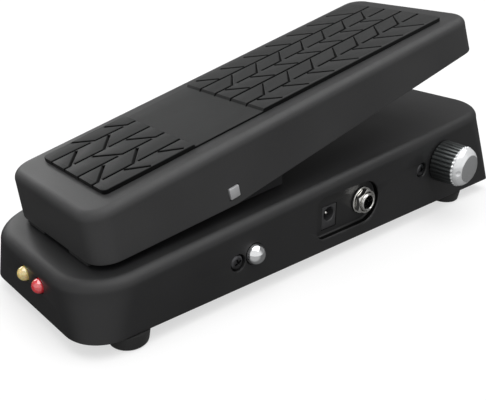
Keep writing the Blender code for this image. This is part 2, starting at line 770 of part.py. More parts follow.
def build_mat():
    """A rubber mat with two thick grip areas and a thin panel between them."""
    base = TREADLE_TOP + GAP
    step = 0.5 * MM
    stations = [
        (MAT_HEEL, MAT_CORNER, MAT_GRIP),
        (MAT_HEEL + 0.45 * MM, 0.45 * MM, MAT_GRIP),
        (MAT_HEEL + MAT_CORNER, 0, MAT_GRIP),
        (MAT_HEEL_GRIP_END, 0, MAT_GRIP),
        (MAT_HEEL_GRIP_END + step, 0, MAT_PANEL),
        (MAT_TOE_GRIP_START - step, 0, MAT_PANEL),
        (MAT_TOE_GRIP_START, 0, MAT_GRIP),
        (MAT_TOE - MAT_CORNER, 0, MAT_GRIP),
        (MAT_TOE - 0.45 * MM, 0.45 * MM, MAT_GRIP),
        (MAT_TOE, MAT_CORNER, MAT_GRIP),
    ]
    rings = []
    for y, narrower, height in stations:
        half = mat_half_width(y) - narrower
        top = TREADLE_TOP + height
        rings.append([(-half, y, base), (half, y, base), (half, y, top), (-half, y, top)])
    add_part("tread_mat", loft("tread_mat", rings), "tread_rubber", parent=TREADLE)


def build_bushes():
    outer = BRACKET_WIDTH / 2 + GAP
    length = BRACKET_CHEEK + GAP
    flange = 1.5 * MM
    profile = [(0, flange), (BUSH_FLANGE_RADIUS, flange), (BUSH_FLANGE_RADIUS, 0)]
    profile += [(BUSH_RADIUS, 0), (BUSH_RADIUS, -length), (0, -length)]
    hole = box("bush_squares", *shaft_hole(SHAFT_SIZE + GAP, 40 * MM))
    cutter = add_cutter("bush_squares", hole, TREADLE)
    for side, hand, rotation in ((1, "right", RIGHT), (-1, "left", LEFT)):
        place = (side * outer, 0, 0)
        bush = turned(f"pivot_bush_{hand}", profile, "acetal", place, rotation, TREADLE, 32)
        apply_boolean(bush, cutter)


def build_vane():
    """A shutter blade on the shaft, which hangs into the optical pick-up."""
    half = VANE_THICKNESS / 2
    hub_half = 3 * MM
    blade = [(0, -5 * MM)]
    tilt = REST_TILT / DEG
    blade += arc(0, 0, VANE_RADIUS, -86 - tilt, -66 - tilt, 5)
    blade.append((4.5 * MM, -3 * MM))
    mesh = slab_across("shutter_vane", blade, -half, half)
    vane = add_part("shutter_vane", mesh, "black_plastic", parent=TREADLE)
    hub = cylinders("vane_hub", [((-hub_half, 0, 0), RIGHT, VANE_HUB_RADIUS, 2 * hub_half)])
    apply_boolean(vane, add_cutter("vane_hub", hub, TREADLE), "UNION")
    hole = box("vane_square", *shaft_hole(SHAFT_SIZE + 2 * GAP, 10 * MM))
    apply_boolean(vane, add_cutter("vane_square", hole, TREADLE))


# ---------------------------------------------------------------- bumpers

def build_bumpers():
    low = wedge_top(HEEL_BUMPER_Y) + GAP
    for side, hand in ((1, "right"), (-1, "left")):
        profile = [(0, TOE_BUMPER_TOP - GAP), (5 * MM, TOE_BUMPER_TOP - GAP)]
        profile += [(5 * MM, TOE_BUMPER_BOTTOM + MM), (4 * MM, TOE_BUMPER_BOTTOM), (0, TOE_BUMPER_BOTTOM)]
        place = (side * TOE_BUMPER_X, TOE_BUMPER_Y, 0)
        turned(f"toe_bumper_{hand}", profile, "bumper_rubber", place, UP, TREADLE, 20)
        half = Vector((7, 2.6, 0.55)) * MM
        pad = box(f"heel_bumper_{hand}", -half, half)
        centre = (side * HEEL_BUMPER_X, HEEL_BUMPER_Y, low + half.z)
        add_part(f"heel_bumper_{hand}", pad, "bumper_rubber", centre, (WEDGE_SLOPE, 0, 0))


# ---------------------------------------------------------------- electronics

def build_board():
    low = (-BOARD_WIDTH / 2, BOARD_HEEL, BOARD_BOTTOM)
    high = (BOARD_WIDTH / 2, BOARD_TOE, BOARD_TOP)
    board = add_part("main_board", box("main_board", low, high), "board_green")
    items = []
    for side in (-1, 1):
        for y in BOARD_SCREWS_Y:
            items.append(((side * BOARD_SCREW_X, y, BOARD_BOTTOM - MM), UP, 1.6 * MM, 4 * MM))
    apply_boolean(board, add_cutter("board_bores", cylinders("board_bores", items, 16)))
    lamp_board = box("led_board", (-14 * MM, -117 * MM, 11 * MM), (20 * MM, -115.4 * MM, 24.6 * MM))
    add_part("led_board", lamp_board, "board_green")


def build_pickup():
    """The fork that the vane swings through, with its lamp and its light cell."""
    half = 9 * MM
    low = (-half, PIVOT_Y - 6 * MM, ON_BOARD)
    high = (half, PIVOT_Y + 9 * MM, 25 * MM)
    fork = add_part("opto_fork", box("opto_fork", low, high), "black_plastic")
    slot_half = 2.4 * MM
    slot = ((-slot_half, low[1] - MM, 15.4 * MM), (slot_half, high[1] + MM, 26 * MM))
    apply_boolean(fork, add_cutter("fork_slot", box("fork_slot", *slot)))
    bore = [((-half - MM, PIVOT_Y, OPTO_Z), RIGHT, 2.7 * MM, 2 * half + 2 * MM)]
    apply_boolean(fork, add_cutter("fork_bore", cylinders("fork_bore", bore)))
    profile = [(0, 2.2), (1.3, 1.9), (2.1, 1.1), (2.4, 0), (2.4, -4.4), (0, -4.4)]
    profile = [(r * MM, h * MM) for r, h in profile]
    turned("opto_lamp", profile, "clear_lens", (-5.2 * MM, PIVOT_Y, OPTO_Z), RIGHT, steps=20)
    profile = [(0, 1.6), (2.4, 1.6), (2.4, -4.4), (0, -4.4)]
    profile = [(r * MM, h * MM) for r, h in profile]
    turned("opto_cell", profile, "grey_plastic", (5.2 * MM, PIVOT_Y, OPTO_Z), LEFT, steps=20)


def build_power_socket():
    half = POWER_WIDTH / 2
    top = POWER_Z + POWER_HEIGHT / 2
    nose = POWER_Z - POWER_HEIGHT / 2
    back = POCKET_BACK_X - GAP
    front = POCKET_FLOOR_X
    rear = front - 14.6 * MM
    outline = [(rear, ON_BOARD), (back, ON_BOARD), (back, nose), (front, nose), (front, top), (rear, top)]
    rings = [[(x, y, z) for x, z in outline] for y in (POWER_Y - half, POWER_Y + half)]
    socket = add_part("power_socket", loft("power_socket", rings), "black_plastic")
    mouth = (POCKET_FLOOR_X - 9 * MM, POWER_Y, POWER_BORE_Z)
    bore = cylinders("power_bore", [(mouth, RIGHT, POWER_BORE, 10 * MM)])
    apply_boolean(socket, add_cutter("power_bore", bore))
    profile = [(0, 7.6), (0.7, 7.4), (1, 6.6), (1, 0.3), (0, 0.3)]
    profile = [(r * MM, h * MM) for r, h in profile]
    turned("power_pin", profile, "nickel", mouth, RIGHT, steps=12)


def build_jack(name, side):
    """A quarter-inch jack: body on the board, threaded nose, washer and nut."""
    rotation = RIGHT if side > 0 else LEFT
    back = POCKET_BACK_X - GAP
    deep = 12 * MM
    near, far = sorted((side * deep, side * back))
    half = 7 * MM
    body = box(name, (near, JACK_Y - half, ON_BOARD), (far, JACK_Y + half, JACK_Z + 8.6 * MM))
    jack = add_part(name, body, "black_plastic")
    nose = [((side * (back - MM), JACK_Y, JACK_Z), rotation, JACK_THREAD, JACK_TIP_X - back + MM)]
    apply_boolean(jack, add_cutter(f"{name}_nose", cylinders(f"{name}_nose", nose)), "UNION")
    bore = [((side * (deep + 2 * MM), JACK_Y, JACK_Z), rotation, JACK_BORE, JACK_TIP_X)]
    apply_boolean(jack, add_cutter(f"{name}_bore", cylinders(f"{name}_bore", bore)))

    washer_x = POCKET_FLOOR_X + GAP
    hole_radius = JACK_THREAD + GAP
    washer = [(hole_radius, 0.8 * MM), (JACK_WASHER_RADIUS, 0.8 * MM)]
    washer += [(JACK_WASHER_RADIUS, 0), (hole_radius, 0)]
    place = (side * washer_x, JACK_Y, JACK_Z)
    turned(f"{name}_washer", washer, "nickel", place, rotation, ring=True)

    nut_x = washer_x + 0.8 * MM + GAP
    corners = arc(JACK_Y, JACK_Z, JACK_NUT_RADIUS, 92, 392, 5)
    mesh = slab_across(f"{name}_nut", corners, side * nut_x, side * (nut_x + 2.3 * MM))
    nut = add_part(f"{name}_nut", mesh, "nickel")
    hole = [((side * (nut_x - MM), JACK_Y, JACK_Z), rotation, hole_radius, 6 * MM)]
    apply_boolean(nut, add_cutter(f"{name}_thread", cylinders(f"{name}_thread", hole)))


def flute_ring(x, radius, depth):
    """A ring of the knob's grip: round, with even flutes of the given depth."""
    count = KNOB_FLUTES * 4
    ring = []
    for step in range(count):
        turn = 2 * math.pi * step / count
        reach = radius - depth * (step % 4 == 0)
        ring.append((x, reach * math.cos(turn), reach * math.sin(turn)))
    return ring


def pointer_dimple(length):
    """A ball that dents the rounded shoulder of the knob, on the heel side."""
    heading = Vector((0.8, -0.597, -0.063))
    surface = Vector((length - 1.25 * MM, -8.1 * MM, -0.85 * MM))
    bm = bmesh.new()
    place = Matrix.Translation(surface + heading * 1.85 * MM)
    bmesh.ops.create_uvsphere(bm, u_segments=20, v_segments=10, radius=2.35 * MM, matrix=place)
    return finish_mesh("knob_dimple", bm)


def build_knob():
    back, front = KNOB_BACK_X, KNOB_FRONT_X
    axis = make_empty("knob_axis", (back, KNOB_Y, KNOB_Z), UP, ROOT)
    length = front - back
    rings = [
        flute_ring(0, KNOB_RADIUS - 0.5 * MM, 0),
        flute_ring(0.5 * MM, KNOB_RADIUS, FLUTE_DEPTH),
        flute_ring(length - 4.3 * MM, KNOB_RADIUS - 0.4 * MM, FLUTE_DEPTH),
        flute_ring(length - 3.65 * MM, KNOB_RADIUS - 0.75 * MM, 0),
        flute_ring(length - 1.85 * MM, KNOB_RADIUS - 1.55 * MM, 0),
        flute_ring(length - 0.2 * MM, KNOB_FRONT_RADIUS + 0.35 * MM, 0),
        flute_ring(length, KNOB_FRONT_RADIUS, 0),
    ]
    knob = add_part("control_knob", loft("control_knob", rings), "chrome", parent=axis)
    skirt = [((-MM, 0, 0), RIGHT, 7.6 * MM, 3.9 * MM)]
    apply_boolean(knob, add_cutter("knob_skirt", cylinders("knob_skirt", skirt), axis))
    bore = [((2 * MM, 0, 0), RIGHT, 3 * MM + GAP, 7 * MM)]
    apply_boolean(knob, add_cutter("knob_bore", cylinders("knob_bore", bore), axis))
    apply_boolean(knob, add_cutter("knob_dimple", pointer_dimple(length), axis))

    shaft = [(0, 8.6), (2.6, 8.6), (3, 8.2), (3, -6.8), (0, -6.8)]
    shaft = [(r * MM, h * MM) for r, h in shaft]
    turned("pot_shaft", shaft, "shaft_steel", (0, 0, 0), RIGHT, axis)


def build_pot():
    """The potentiometer behind the knob, with its bush and nut."""
    inside = outer_half_width(KNOB_Y, KNOB_Z) - BASE_WALL - 2 * GAP
    body = [(0, -3.5), (3.1, -3.5), (3.1, 5.4), (3.4, 5.4), (3.4, 0), (8, 0), (8, -8), (0, -8)]
    body = [(r * MM, h * MM) for r, h in body]
    turned("control_pot", body, "pot_steel", (inside, KNOB_Y, KNOB_Z), RIGHT)
    place = (KNOB_BACK_X + 0.1 * MM, KNOB_Y, KNOB_Z)
    nut = add_part("pot_nut", cylinders("pot_nut", [(place, RIGHT, 5.6 * MM, 1.6 * MM)], 6), "nickel")
    hole = [((KNOB_BACK_X - MM, KNOB_Y, KNOB_Z), RIGHT, 3.7 * MM, 5 * MM)]
    apply_boolean(nut, add_cutter("pot_thread", cylinders("pot_thread", hole)))


def build_button():
    """The domed push button, its switch and the stem between them."""
    face = outer_half_width(BUTTON_Y, BUTTON_Z)
    axis = make_empty("button_axis", (face, BUTTON_Y, BUTTON_Z), UP, ROOT)
    profile = arc(0, 0, BUTTON_RADIUS, 90, 0, 6)
    profile += [(BUTTON_RADIUS, -3.3 * MM), (BUTTON_SKIRT, -3.3 * MM), (BUTTON_SKIRT, -4.5 * MM)]
    profile += [(2 * MM, -4.5 * MM), (2 * MM, -9.6 * MM), (0, -9.6 * MM)]
    turned("button_cap", profile, "chrome", (0, 0, 0), RIGHT, axis)
    front = face - 8 * MM
    low = (front - 12 * MM, BUTTON_Y - 5.2 * MM, ON_BOARD)
    high = (front, BUTTON_Y + 5.2 * MM, BUTTON_Z + 5.2 * MM)
    switch = add_part("button_switch", box("button_switch", low, high), "grey_plastic")
    hole = [((front - 6 * MM, BUTTON_Y, BUTTON_Z), RIGHT, 2.4 * MM, 7 * MM)]
    apply_boolean(switch, add_cutter("switch_bore", cylinders("switch_bore", hole)))


def build_lamps():
    face = -BASE_LENGTH / 2
    for name, x in LAMPS.items():
        slot = "amber_lens" if name == "led_amber" else "red_lens"
        profile = arc(0, 0, LAMP_RADIUS, 90, 0, 4)
        profile += [(LAMP_RADIUS, -3.3 * MM), (3.5 * MM, -3.3 * MM), (3.5 * MM, -4.3 * MM)]
        profile += [(LAMP_RADIUS, -4.3 * MM), (LAMP_RADIUS, -7.7 * MM), (0, -7.7 * MM)]
        turned(name, profile, slot, (x, face, LAMP_Z), TO_HEEL, steps=20)


def build_battery():
    half = BATTERY_SIZE / 2
    low, high = BATTERY_CENTRE - half, BATTERY_CENTRE + half
    battery = add_part("battery", box("battery", low, high), "battery_wrap")
    posts = []
    for offset in (-6.3 * MM, 6.3 * MM):
        start = (low.x + MM, BATTERY_CENTRE.y + offset, BATTERY_CENTRE.z)
        posts.append((start, LEFT, 2.9 * MM, 3.6 * MM))
    apply_boolean(battery, add_cutter("battery_posts", cylinders("battery_posts", posts)), "UNION")

    snap_face = low.x - 2.6 * MM - GAP
    corner = Vector((snap_face - 3 * MM, low.y + 3 * MM, low.z + 2.5 * MM))
    opposite = Vector((snap_face, high.y - 3 * MM, high.z - 2.5 * MM))
    add_part("battery_snap", box("battery_snap", corner, opposite), "black_plastic")

    inner_heel, inner_toe = low.y - GAP, high.y + GAP
    inner_top = high.z + GAP
    steel = 0.9 * MM
    foot = PLATE_TOP + GAP
    strap = [
        (inner_heel, foot),
        (inner_heel, inner_top),
        (inner_toe, inner_top),
        (inner_toe, foot),
        (inner_toe + steel, foot),
        (inner_toe + steel, inner_top + steel),
        (inner_heel - steel, inner_top + steel),
        (inner_heel - steel, foot),
    ]
    clip = slab_across("battery_clip", strap, -4 * MM, 8 * MM)
    add_part("battery_clip", clip, "zinc_plate")


def build_leads():
    """Short sleeved leads between the board and what it serves."""
    board_z = (BOARD_BOTTOM + BOARD_TOP) / 2
    to_lamps = [(3, -115, 22), (3, -104, 22), (3, -94, 16), (3, -88, 12.2), (3, -82.5, 11.9)]
    to_pot = [(31, 76, 20), (28, 70, 14), (27, 58, 12), (27, 48, 11.9), (27, 42.5, 11.9)]
    to_battery = [(-27, 89, 15), (-29, 80, 12.5), (-27, 62, 11.9), (-24, 50, 11.9), (-24, 42.5, 11.9)]
    for name, points in (("led_lead", to_lamps), ("pot_lead", to_pot), ("battery_lead", to_battery)):
        route = [Vector(point) * MM for point in points]
        route[-1].z = board_z
        tube(name, route, 0.9 * MM, "wire_sleeve")


def build_pedal():
    build_housing()
    build_bottom_plate()
    build_feet()
    build_side_screws()
    build_bracket()
    build_bracket_screws()
    build_spring()
    build_treadle()
    build_mat()
    build_bushes()
    build_vane()
    build_bumpers()
    build_board()
    build_board_screws()
    build_pickup()
    build_power_socket()
    build_jack("input_jack", 1)
    build_jack("output_jack", -1)
    build_knob()
    build_pot()
    build_button()
    build_lamps()
    build_battery()
    build_leads()
    bpy.context.view_layer.update()


build_pedal()
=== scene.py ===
import json
import math

import bmesh
import bpy
from mathutils import Matrix, Vector


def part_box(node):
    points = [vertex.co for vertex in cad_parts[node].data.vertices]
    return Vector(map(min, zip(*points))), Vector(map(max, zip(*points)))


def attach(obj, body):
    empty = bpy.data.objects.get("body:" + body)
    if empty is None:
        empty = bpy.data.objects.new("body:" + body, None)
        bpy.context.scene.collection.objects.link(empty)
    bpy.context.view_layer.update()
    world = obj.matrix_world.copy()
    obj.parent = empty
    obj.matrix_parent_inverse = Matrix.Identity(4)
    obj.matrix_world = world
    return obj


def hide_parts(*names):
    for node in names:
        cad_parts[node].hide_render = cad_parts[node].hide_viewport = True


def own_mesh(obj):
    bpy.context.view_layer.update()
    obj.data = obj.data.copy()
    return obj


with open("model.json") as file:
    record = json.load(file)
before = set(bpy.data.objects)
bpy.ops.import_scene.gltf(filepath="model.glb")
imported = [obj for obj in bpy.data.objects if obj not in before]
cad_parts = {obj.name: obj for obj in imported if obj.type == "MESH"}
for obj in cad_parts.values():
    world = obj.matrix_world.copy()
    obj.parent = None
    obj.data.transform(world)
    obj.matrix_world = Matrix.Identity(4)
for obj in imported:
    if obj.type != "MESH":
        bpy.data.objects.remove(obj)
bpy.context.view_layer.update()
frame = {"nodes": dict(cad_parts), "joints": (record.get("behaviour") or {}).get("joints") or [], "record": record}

MM = 0.001
UP = Vector((0, 0, 1))
RIGHT, LEFT = Vector((1, 0, 0)), Vector((-1, 0, 0))
TO_HEEL = Vector((0, -1, 0))
SIDES = (("right", RIGHT), ("left", LEFT))
SCREWS = [(f"side_screw_{end}_{hand}", way) for end in ("heel", "toe") for hand, way in SIDES]
GAP = 0.3 * MM

# Camera and its lens, at the angle of the product view, in the design's own frame
CAMERA_PLACE = Vector((222.4, -211.45, 150.16)) * MM
CAMERA_YAW = 48.98
CAMERA_PITCH = 23.88
CAMERA_LENS = 50.92

# White studio: the floor's glow to the eye, and the room as the pedal mirrors it
FLOOR_GLOW = 0.60
ROOM_FRONT = 0.9
ROOM_BACK = 0.26
FLOOR_LEFT = 0.08
FLOOR_RIGHT = 0.16
FLOOR_FRONT = 0.45
SOFTBOX_DISTANCE = 1.5

# Housing
BASE_LENGTH = 250 * MM
BASE_WIDTH = 86 * MM
BASE_TAPER = 0.044
BASE_BOTTOM = 6 * MM
HEEL_HEIGHT = 27.7 * MM
TOE_HEIGHT = 49 * MM
BASE_WALL = 3 * MM
BASE_RIM = 4.5 * MM
SIDE_DRAFT = 0.028
TOE_DRAFT = 0.121
HEEL_CORNER_LOW = 15.4 * MM
HEEL_CORNER_HIGH = 22.7 * MM
TOE_CORNER_LOW = 3 * MM
TOE_CORNER_HIGH = 21.2 * MM

# Socket pocket
POCKET_HEEL = -12.5 * MM
POCKET_TOE = 28.5 * MM
POCKET_BOTTOM = 12.1 * MM
POCKET_TOP = 32.2 * MM
POCKET_HEEL_RADIUS = 5 * MM
POCKET_FLOOR_X = 39.6 * MM
POCKET_BACK_X = 36.6 * MM
SOCKET_BOTTOM = 14.8 * MM

# Radii and depths of turned parts and their holes, in millimetres
THROUGH = 9
SCREW_HOLE, SCREW_HOLE_DEPTH, SCREW_WAY, SCREW_DOME = 3.7, 1.8, 1.8, 1.4
BUTTON_RADIUS, BUTTON_HOLE = 4.5, 4.75
LAMP_RADIUS, LAMP_HOLE = 2.9, 3.2
KNOB_HOLE = 3.8
JACK_HOLE, JACK_BORE, JACK_THREAD, JACK_NOSE = 4.6, 3.27, 4.3, 8
FAR_RECESS = 9.6

# Treadle, in its own frame: origin on the pivot, +Y along the top, +Z square to it
REST_TILT = math.radians(12.4)
TREADLE_HEEL = -60.3 * MM
TREADLE_TOE = 158.1 * MM
TREADLE_TOP = 19.6 * MM
TREADLE_WIDTH = 70 * MM
TREADLE_TAPER = 0.169
TREADLE_WALL = 2.5 * MM
TREADLE_RIM = 3.8 * MM
TREADLE_CORNER = 10 * MM
TREADLE_SIDE_DRAFT = 0.062
TREADLE_END_DRAFT = 0.073
SKIRT_HEEL = -0.7 * MM
SKIRT_WAIST = -5.8 * MM
SKIRT_TOE = 2.4 * MM
WAIST_Y = 0.4 * MM
SHAFT_SIZE = 4.8 * MM

# Return spring: the radius of its wire, its turns and its height
SPRING_WIRE = 0.6 * MM
SPRING_TURNS = 6
SPRING_RISE = 16.2 * MM

# Mat, measured along the treadle's top from the treadle's heel edge
MAT_START = 13.3 * MM
MAT_HEEL_GRIP_END = 53.7 * MM
MAT_TOE_GRIP_START = 88.9 * MM
MAT_END = 204.9 * MM
MAT_HEEL_WIDTH = 46.8 * MM
MAT_TOE_WIDTH = 58 * MM
MAT_GRIP = 1.9 * MM
MAT_PANEL = 0.9 * MM
GROOVE_DEPTH = 1.4 * MM
GROOVE_WIDTH = 1.4 * MM
GROOVE_LINES = (-15.6 * MM, -5.2 * MM, 5.2 * MM, 15.6 * MM)
GROOVE_PERIOD = 15.07 * MM

# Where the design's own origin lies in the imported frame
base_low, base_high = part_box("base_housing")
ORIGIN = Vector(((base_low.x + base_high.x) / 2, (base_low.y + base_high.y) / 2, 0))
PIVOT = Vector(*(joint["pos_m"] for joint in frame["joints"] if joint["name"] == "treadle_rock"))
TREADLE_PLACE = Matrix.Translation(PIVOT) @ Matrix.Rotation(REST_TILT, 4, "X")


def centre(node):
    low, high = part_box(node)
    return (low + high) / 2


def new_object(name, data):
    """A new object in the scene that holds the data."""
    thing = bpy.data.objects.new(name, data)
    bpy.context.scene.collection.objects.link(thing)
    return thing


# ---- materials

class Nodes:
    """A node tree with a few short calls for its texture nodes."""

    def __init__(self, owner, shader, coordinates):
        owner.use_nodes = True
        self.tree = owner.node_tree
        self.shader = self.tree.nodes[shader]
        self.place = self.tree.nodes.new("ShaderNodeTexCoord").outputs[coordinates]

    def set(self, socket, value):
        self.feed(self.shader.inputs[socket], value)

    def source(self, socket):
        """What already feeds a socket of the shader."""
        return self.shader.inputs[socket].links[0].from_socket

    def feed(self, socket, value):
        if isinstance(value, bpy.types.NodeSocket):
            self.tree.links.new(value, socket)
        else:
            socket.default_value = value

    def node(self, kind, output, inputs, **settings):
        """Add a node with its settings, feed its inputs, and give one of its outputs."""
        node = self.tree.nodes.new("ShaderNode" + kind)
        for name, value in settings.items():
            setattr(node, name, value)
        for name, value in inputs.items():
            self.feed(node.inputs[name], value)
        return node.outputs[output]

    def stretched(self, scale):
        """Object coordinates scaled by a different amount along each axis."""
        return self.node("Mapping", "Vector", {"Vector": self.place, "Scale": scale})

    def noise(self, size, detail=4.0, place=None):
        """Noise with features of about the given size in metres."""
        inputs = {"Vector": place or self.place, "Scale": 1 / size, "Detail": detail}
        return self.node("TexNoise", "Fac", inputs)

    def cells(self, size, feature="F1"):
        inputs = {"Vector": self.place, "Scale": 1 / size}
        return self.node("TexVoronoi", "Distance", inputs, feature=feature)

    def ramp(self, value, low, high, start=0.0, end=1.0):
        """Map a value smoothly from the range low to high onto start to end."""
        inputs = {"From Min": low, "From Max": high, "To Min": start, "To Max": end, "Value": value}
        return self.node("MapRange", "Result", inputs, interpolation_type="SMOOTHSTEP")

    def maths(self, operation, a, b=0.0, c=0.0):
        return self.node("Math", "Value", {0: a, 1: b, 2: c}, operation=operation)

    def mix(self, factor, a, b):
        a, b = (tone if isinstance(tone, bpy.types.NodeSocket) else (*tone, 1) for tone in (a, b))
        return self.node("Mix", "Result", {"Factor": factor, "A": a, "B": b}, data_type="RGBA")

    def edge(self):
        """How far a point is on a rounded edge, as the mesh's own attribute says."""
        return self.node("Attribute", "Fac", {}, attribute_name="edge")

    def along(self, direction):
        """How far a shaded spot or a ray reaches along a direction."""
        inputs = {0: self.place, 1: direction}
        return self.node("VectorMath", "Value", inputs, operation="DOT_PRODUCT")

    def distance_from(self, point, direction):
        """How far along a unit direction a shaded spot lies from a point."""
        return self.maths("SUBTRACT", self.along(direction), point.dot(direction))

    def eye(self):
        """1 for what the camera sees directly, and 0 for light and mirror images."""
        return self.node("LightPath", "Is Camera Ray", {})

    def bump(self, height, depth, strength=1.0, under=None):
        """Bump from a height between 0 and 1, whose full depth is in metres."""
        inputs = {"Height": height, "Distance": depth, "Strength": strength}
        if under:
            inputs["Normal"] = under
        normal = self.node("Bump", "Normal", inputs)
        self.set("Normal", normal)
        return normal


class Graph(Nodes):
    """A Principled material."""

    def __init__(self, name, colour, roughness, metallic=0.0):
        self.material = bpy.data.materials.new(name)
        self.material.diffuse_color = (*colour, 1)
        super().__init__(self.material, "Principled BSDF", "Object")
        self.set("Base Color", (*colour, 1))
        self.set("Roughness", roughness)
        self.set("Metallic", metallic)


def shade(colour, factor):
    return tuple(channel * factor for channel in colour)


def coated_metal(name, colour, roughness):
    """Satin powder coat: even grain, faint orange peel, and rounded edges lightened in patches, partly as rubbed
    wear and partly as painted sheen.
    """
    graph = Graph(name, colour, roughness)
    broad = graph.noise(45 * MM, 3)
    grain = graph.noise(0.45 * MM, 2)
    peel = graph.noise(2.4 * MM, 2)
    # Rounded edges lightened in noisy patches: partly rubbed wear, partly painted sheen
    wear_and_sheen = graph.maths("MULTIPLY", graph.edge(), graph.ramp(graph.noise(6 * MM, 5), 0.42, 0.68))
    tone = graph.mix(graph.ramp(broad, 0.3, 0.7), shade(colour, 0.88), shade(colour, 1.12))
    tone = graph.mix(graph.ramp(grain, 0.35, 0.75, 0, 0.35), tone, shade(colour, 1.5))
    graph.set("Base Color", graph.mix(graph.maths("MULTIPLY", wear_and_sheen, 0.2), tone, shade(colour, 2.0)))
    rough = graph.ramp(broad, 0.25, 0.75, roughness - 0.04, roughness + 0.05)
    graph.set("Roughness", graph.maths("MULTIPLY_ADD", graph.edge(), 0.16, rough))
    graph.set("Specular IOR Level", 0.5)
    under = graph.bump(peel, 0.02 * MM, 0.5)
    graph.bump(grain, 0.025 * MM, 0.6, under)
    return graph


def pocket_painted_shade_mask(graph):
    """How far a point is on the walls of the socket pocket, from 0 to 1: the mask of the painted shade there."""
    near = 0.4 * MM
    walls = 1.0
    limits = (
        (Vector((1, 0, SIDE_DRAFT)), POCKET_FLOOR_X + 0.9 * MM, 42.85 * MM),
        (-TO_HEEL, POCKET_HEEL - 1.5 * MM, POCKET_TOE + 1.5 * MM),
        (UP, POCKET_BOTTOM - 1.5 * MM, POCKET_TOP + 1.5 * MM),
    )
    for direction, low, high in limits:
        place = graph.distance_from(ORIGIN, direction)
        walls = graph.maths("MULTIPLY", walls, graph.ramp(place, low, low + near))
        walls = graph.maths("MULTIPLY", walls, graph.ramp(place, high - near, high, 1, 0))
    return walls


def housing_paint(name, colour, roughness):
    """The housing's coat, with painted shade on the walls of the socket pocket: near-black there, with little
    specular.
    """
    graph = coated_metal(name, colour, roughness)
    walls = pocket_painted_shade_mask(graph)
    # Painted shade: near-black colour on the pocket walls, where the recess would be in shade
    dark = (0.003, 0.003, 0.003)
    graph.set("Base Color", graph.mix(walls, graph.source("Base Color"), dark))
    graph.set("Specular IOR Level", graph.ramp(walls, 0, 1, 0.5, 0.05))
    return graph


def rubber(name, colour, roughness, dust):
    """Matte rubber with a pebbled skin and dust in its broad patches."""
    graph = Graph(name, colour, roughness)
    pebble = graph.cells(0.7 * MM)
    grain = graph.noise(0.25 * MM, 3)
    patches = graph.noise(18 * MM, 6)
    tone = graph.mix(graph.ramp(patches, 0.35, 0.7), shade(colour, 0.85), shade(colour, 1.15))
    speck = graph.maths("MULTIPLY", graph.ramp(grain, 0.52, 0.75), dust)
    tone = graph.mix(speck, tone, shade(colour, 2.0))
    graph.set("Base Color", tone)
    graph.set("Roughness", graph.ramp(patches, 0.3, 0.7, roughness - 0.05, roughness + 0.06))
    graph.set("Sheen Weight", 0.06)
    graph.set("Sheen Roughness", 0.5)
    under = graph.bump(pebble, 0.05 * MM, 0.35)
    graph.bump(grain, 0.03 * MM, 0.5, under)
    return graph


def grooved_rubber(name, colour, roughness):
    """The mat's rubber, with painted shade down its grooves and sides: darker and with less specular below its
    top.
    """
    graph = rubber(name, colour, roughness, 0.25)
    tone = graph.source("Base Color")
    turned = TREADLE_PLACE.to_3x3()
    along = graph.distance_from(PIVOT, turned @ Vector((0, 1, 0)))
    height = graph.distance_from(PIVOT, turned @ UP)
    first, last = TREADLE_HEEL + MAT_HEEL_GRIP_END, TREADLE_HEEL + MAT_TOE_GRIP_START
    past_heel = graph.ramp(along, first - 0.1 * MM, first + 0.3 * MM)
    before_toe = graph.ramp(along, last - 0.3 * MM, last + 0.1 * MM, 1, 0)
    panel = graph.maths("MULTIPLY", past_heel, before_toe)
    top = graph.maths("MULTIPLY_ADD", panel, MAT_PANEL - MAT_GRIP, TREADLE_TOP + MAT_GRIP)
    # Painted shade: below the mat's top, in the grooves and down the sides, the colour drops towards a fifth and
    # the specular fades
    clear_of_painted_shade = graph.ramp(graph.maths("SUBTRACT", height, top), -0.5 * MM, -0.1 * MM, 0.1, 1)
    graph.set("Base Color", graph.mix(clear_of_painted_shade, shade(colour, 0.2), tone))
    graph.set("Specular IOR Level", graph.maths("MULTIPLY", clear_of_painted_shade, 0.3))
    return graph


def sawn_steel(name, colour, roughness):
    """Bare steel, sawn and oiled: half of its light is scattered."""
    graph = plated(name, colour, roughness, (0.1, 1, 1), 0.10)
    graph.set("Metallic", 0.45)
    return graph


def plated(name, colour, roughness, streak, smudge):
    """Bright or satin metal: fine streaks and cloudy finger marks."""
    graph = Graph(name, colour, roughness, 1.0)
    lines = graph.noise(0.3 * MM, 3, graph.stretched(streak))
    clouds = graph.noise(5 * MM, 5)
    tone = graph.mix(graph.ramp(lines, 0.3, 0.7), shade(colour, 0.92), colour)
    smudged = graph.ramp(clouds, 0.45, 0.8, 0, 0.3)
    graph.set("Base Color", graph.mix(smudged, tone, shade(colour, 0.8)))
    graph.set("Roughness", graph.ramp(clouds, 0.35, 0.75, roughness, roughness + smudge))
    graph.bump(lines, 0.004 * MM, 0.35)
    return graph


def plastic(name, colour, roughness, gloss=0.0):
    """Injection-moulded plastic: a spark-eroded grain over a slow change of tone."""
    graph = Graph(name, colour, roughness)
    grain = graph.cells(0.35 * MM)
    flow = graph.noise(12 * MM, 2)
    tone = graph.mix(graph.ramp(flow, 0.3, 0.7), shade(colour, 0.9), shade(colour, 1.15))
    graph.set("Base Color", tone)
    graph.set("Roughness", graph.ramp(flow, 0.3, 0.7, roughness - 0.04, roughness + 0.04))
    graph.set("Coat Weight", gloss)
    graph.set("Coat Roughness", 0.1)
    graph.bump(grain, 0.02 * MM, 0.4)
    return graph


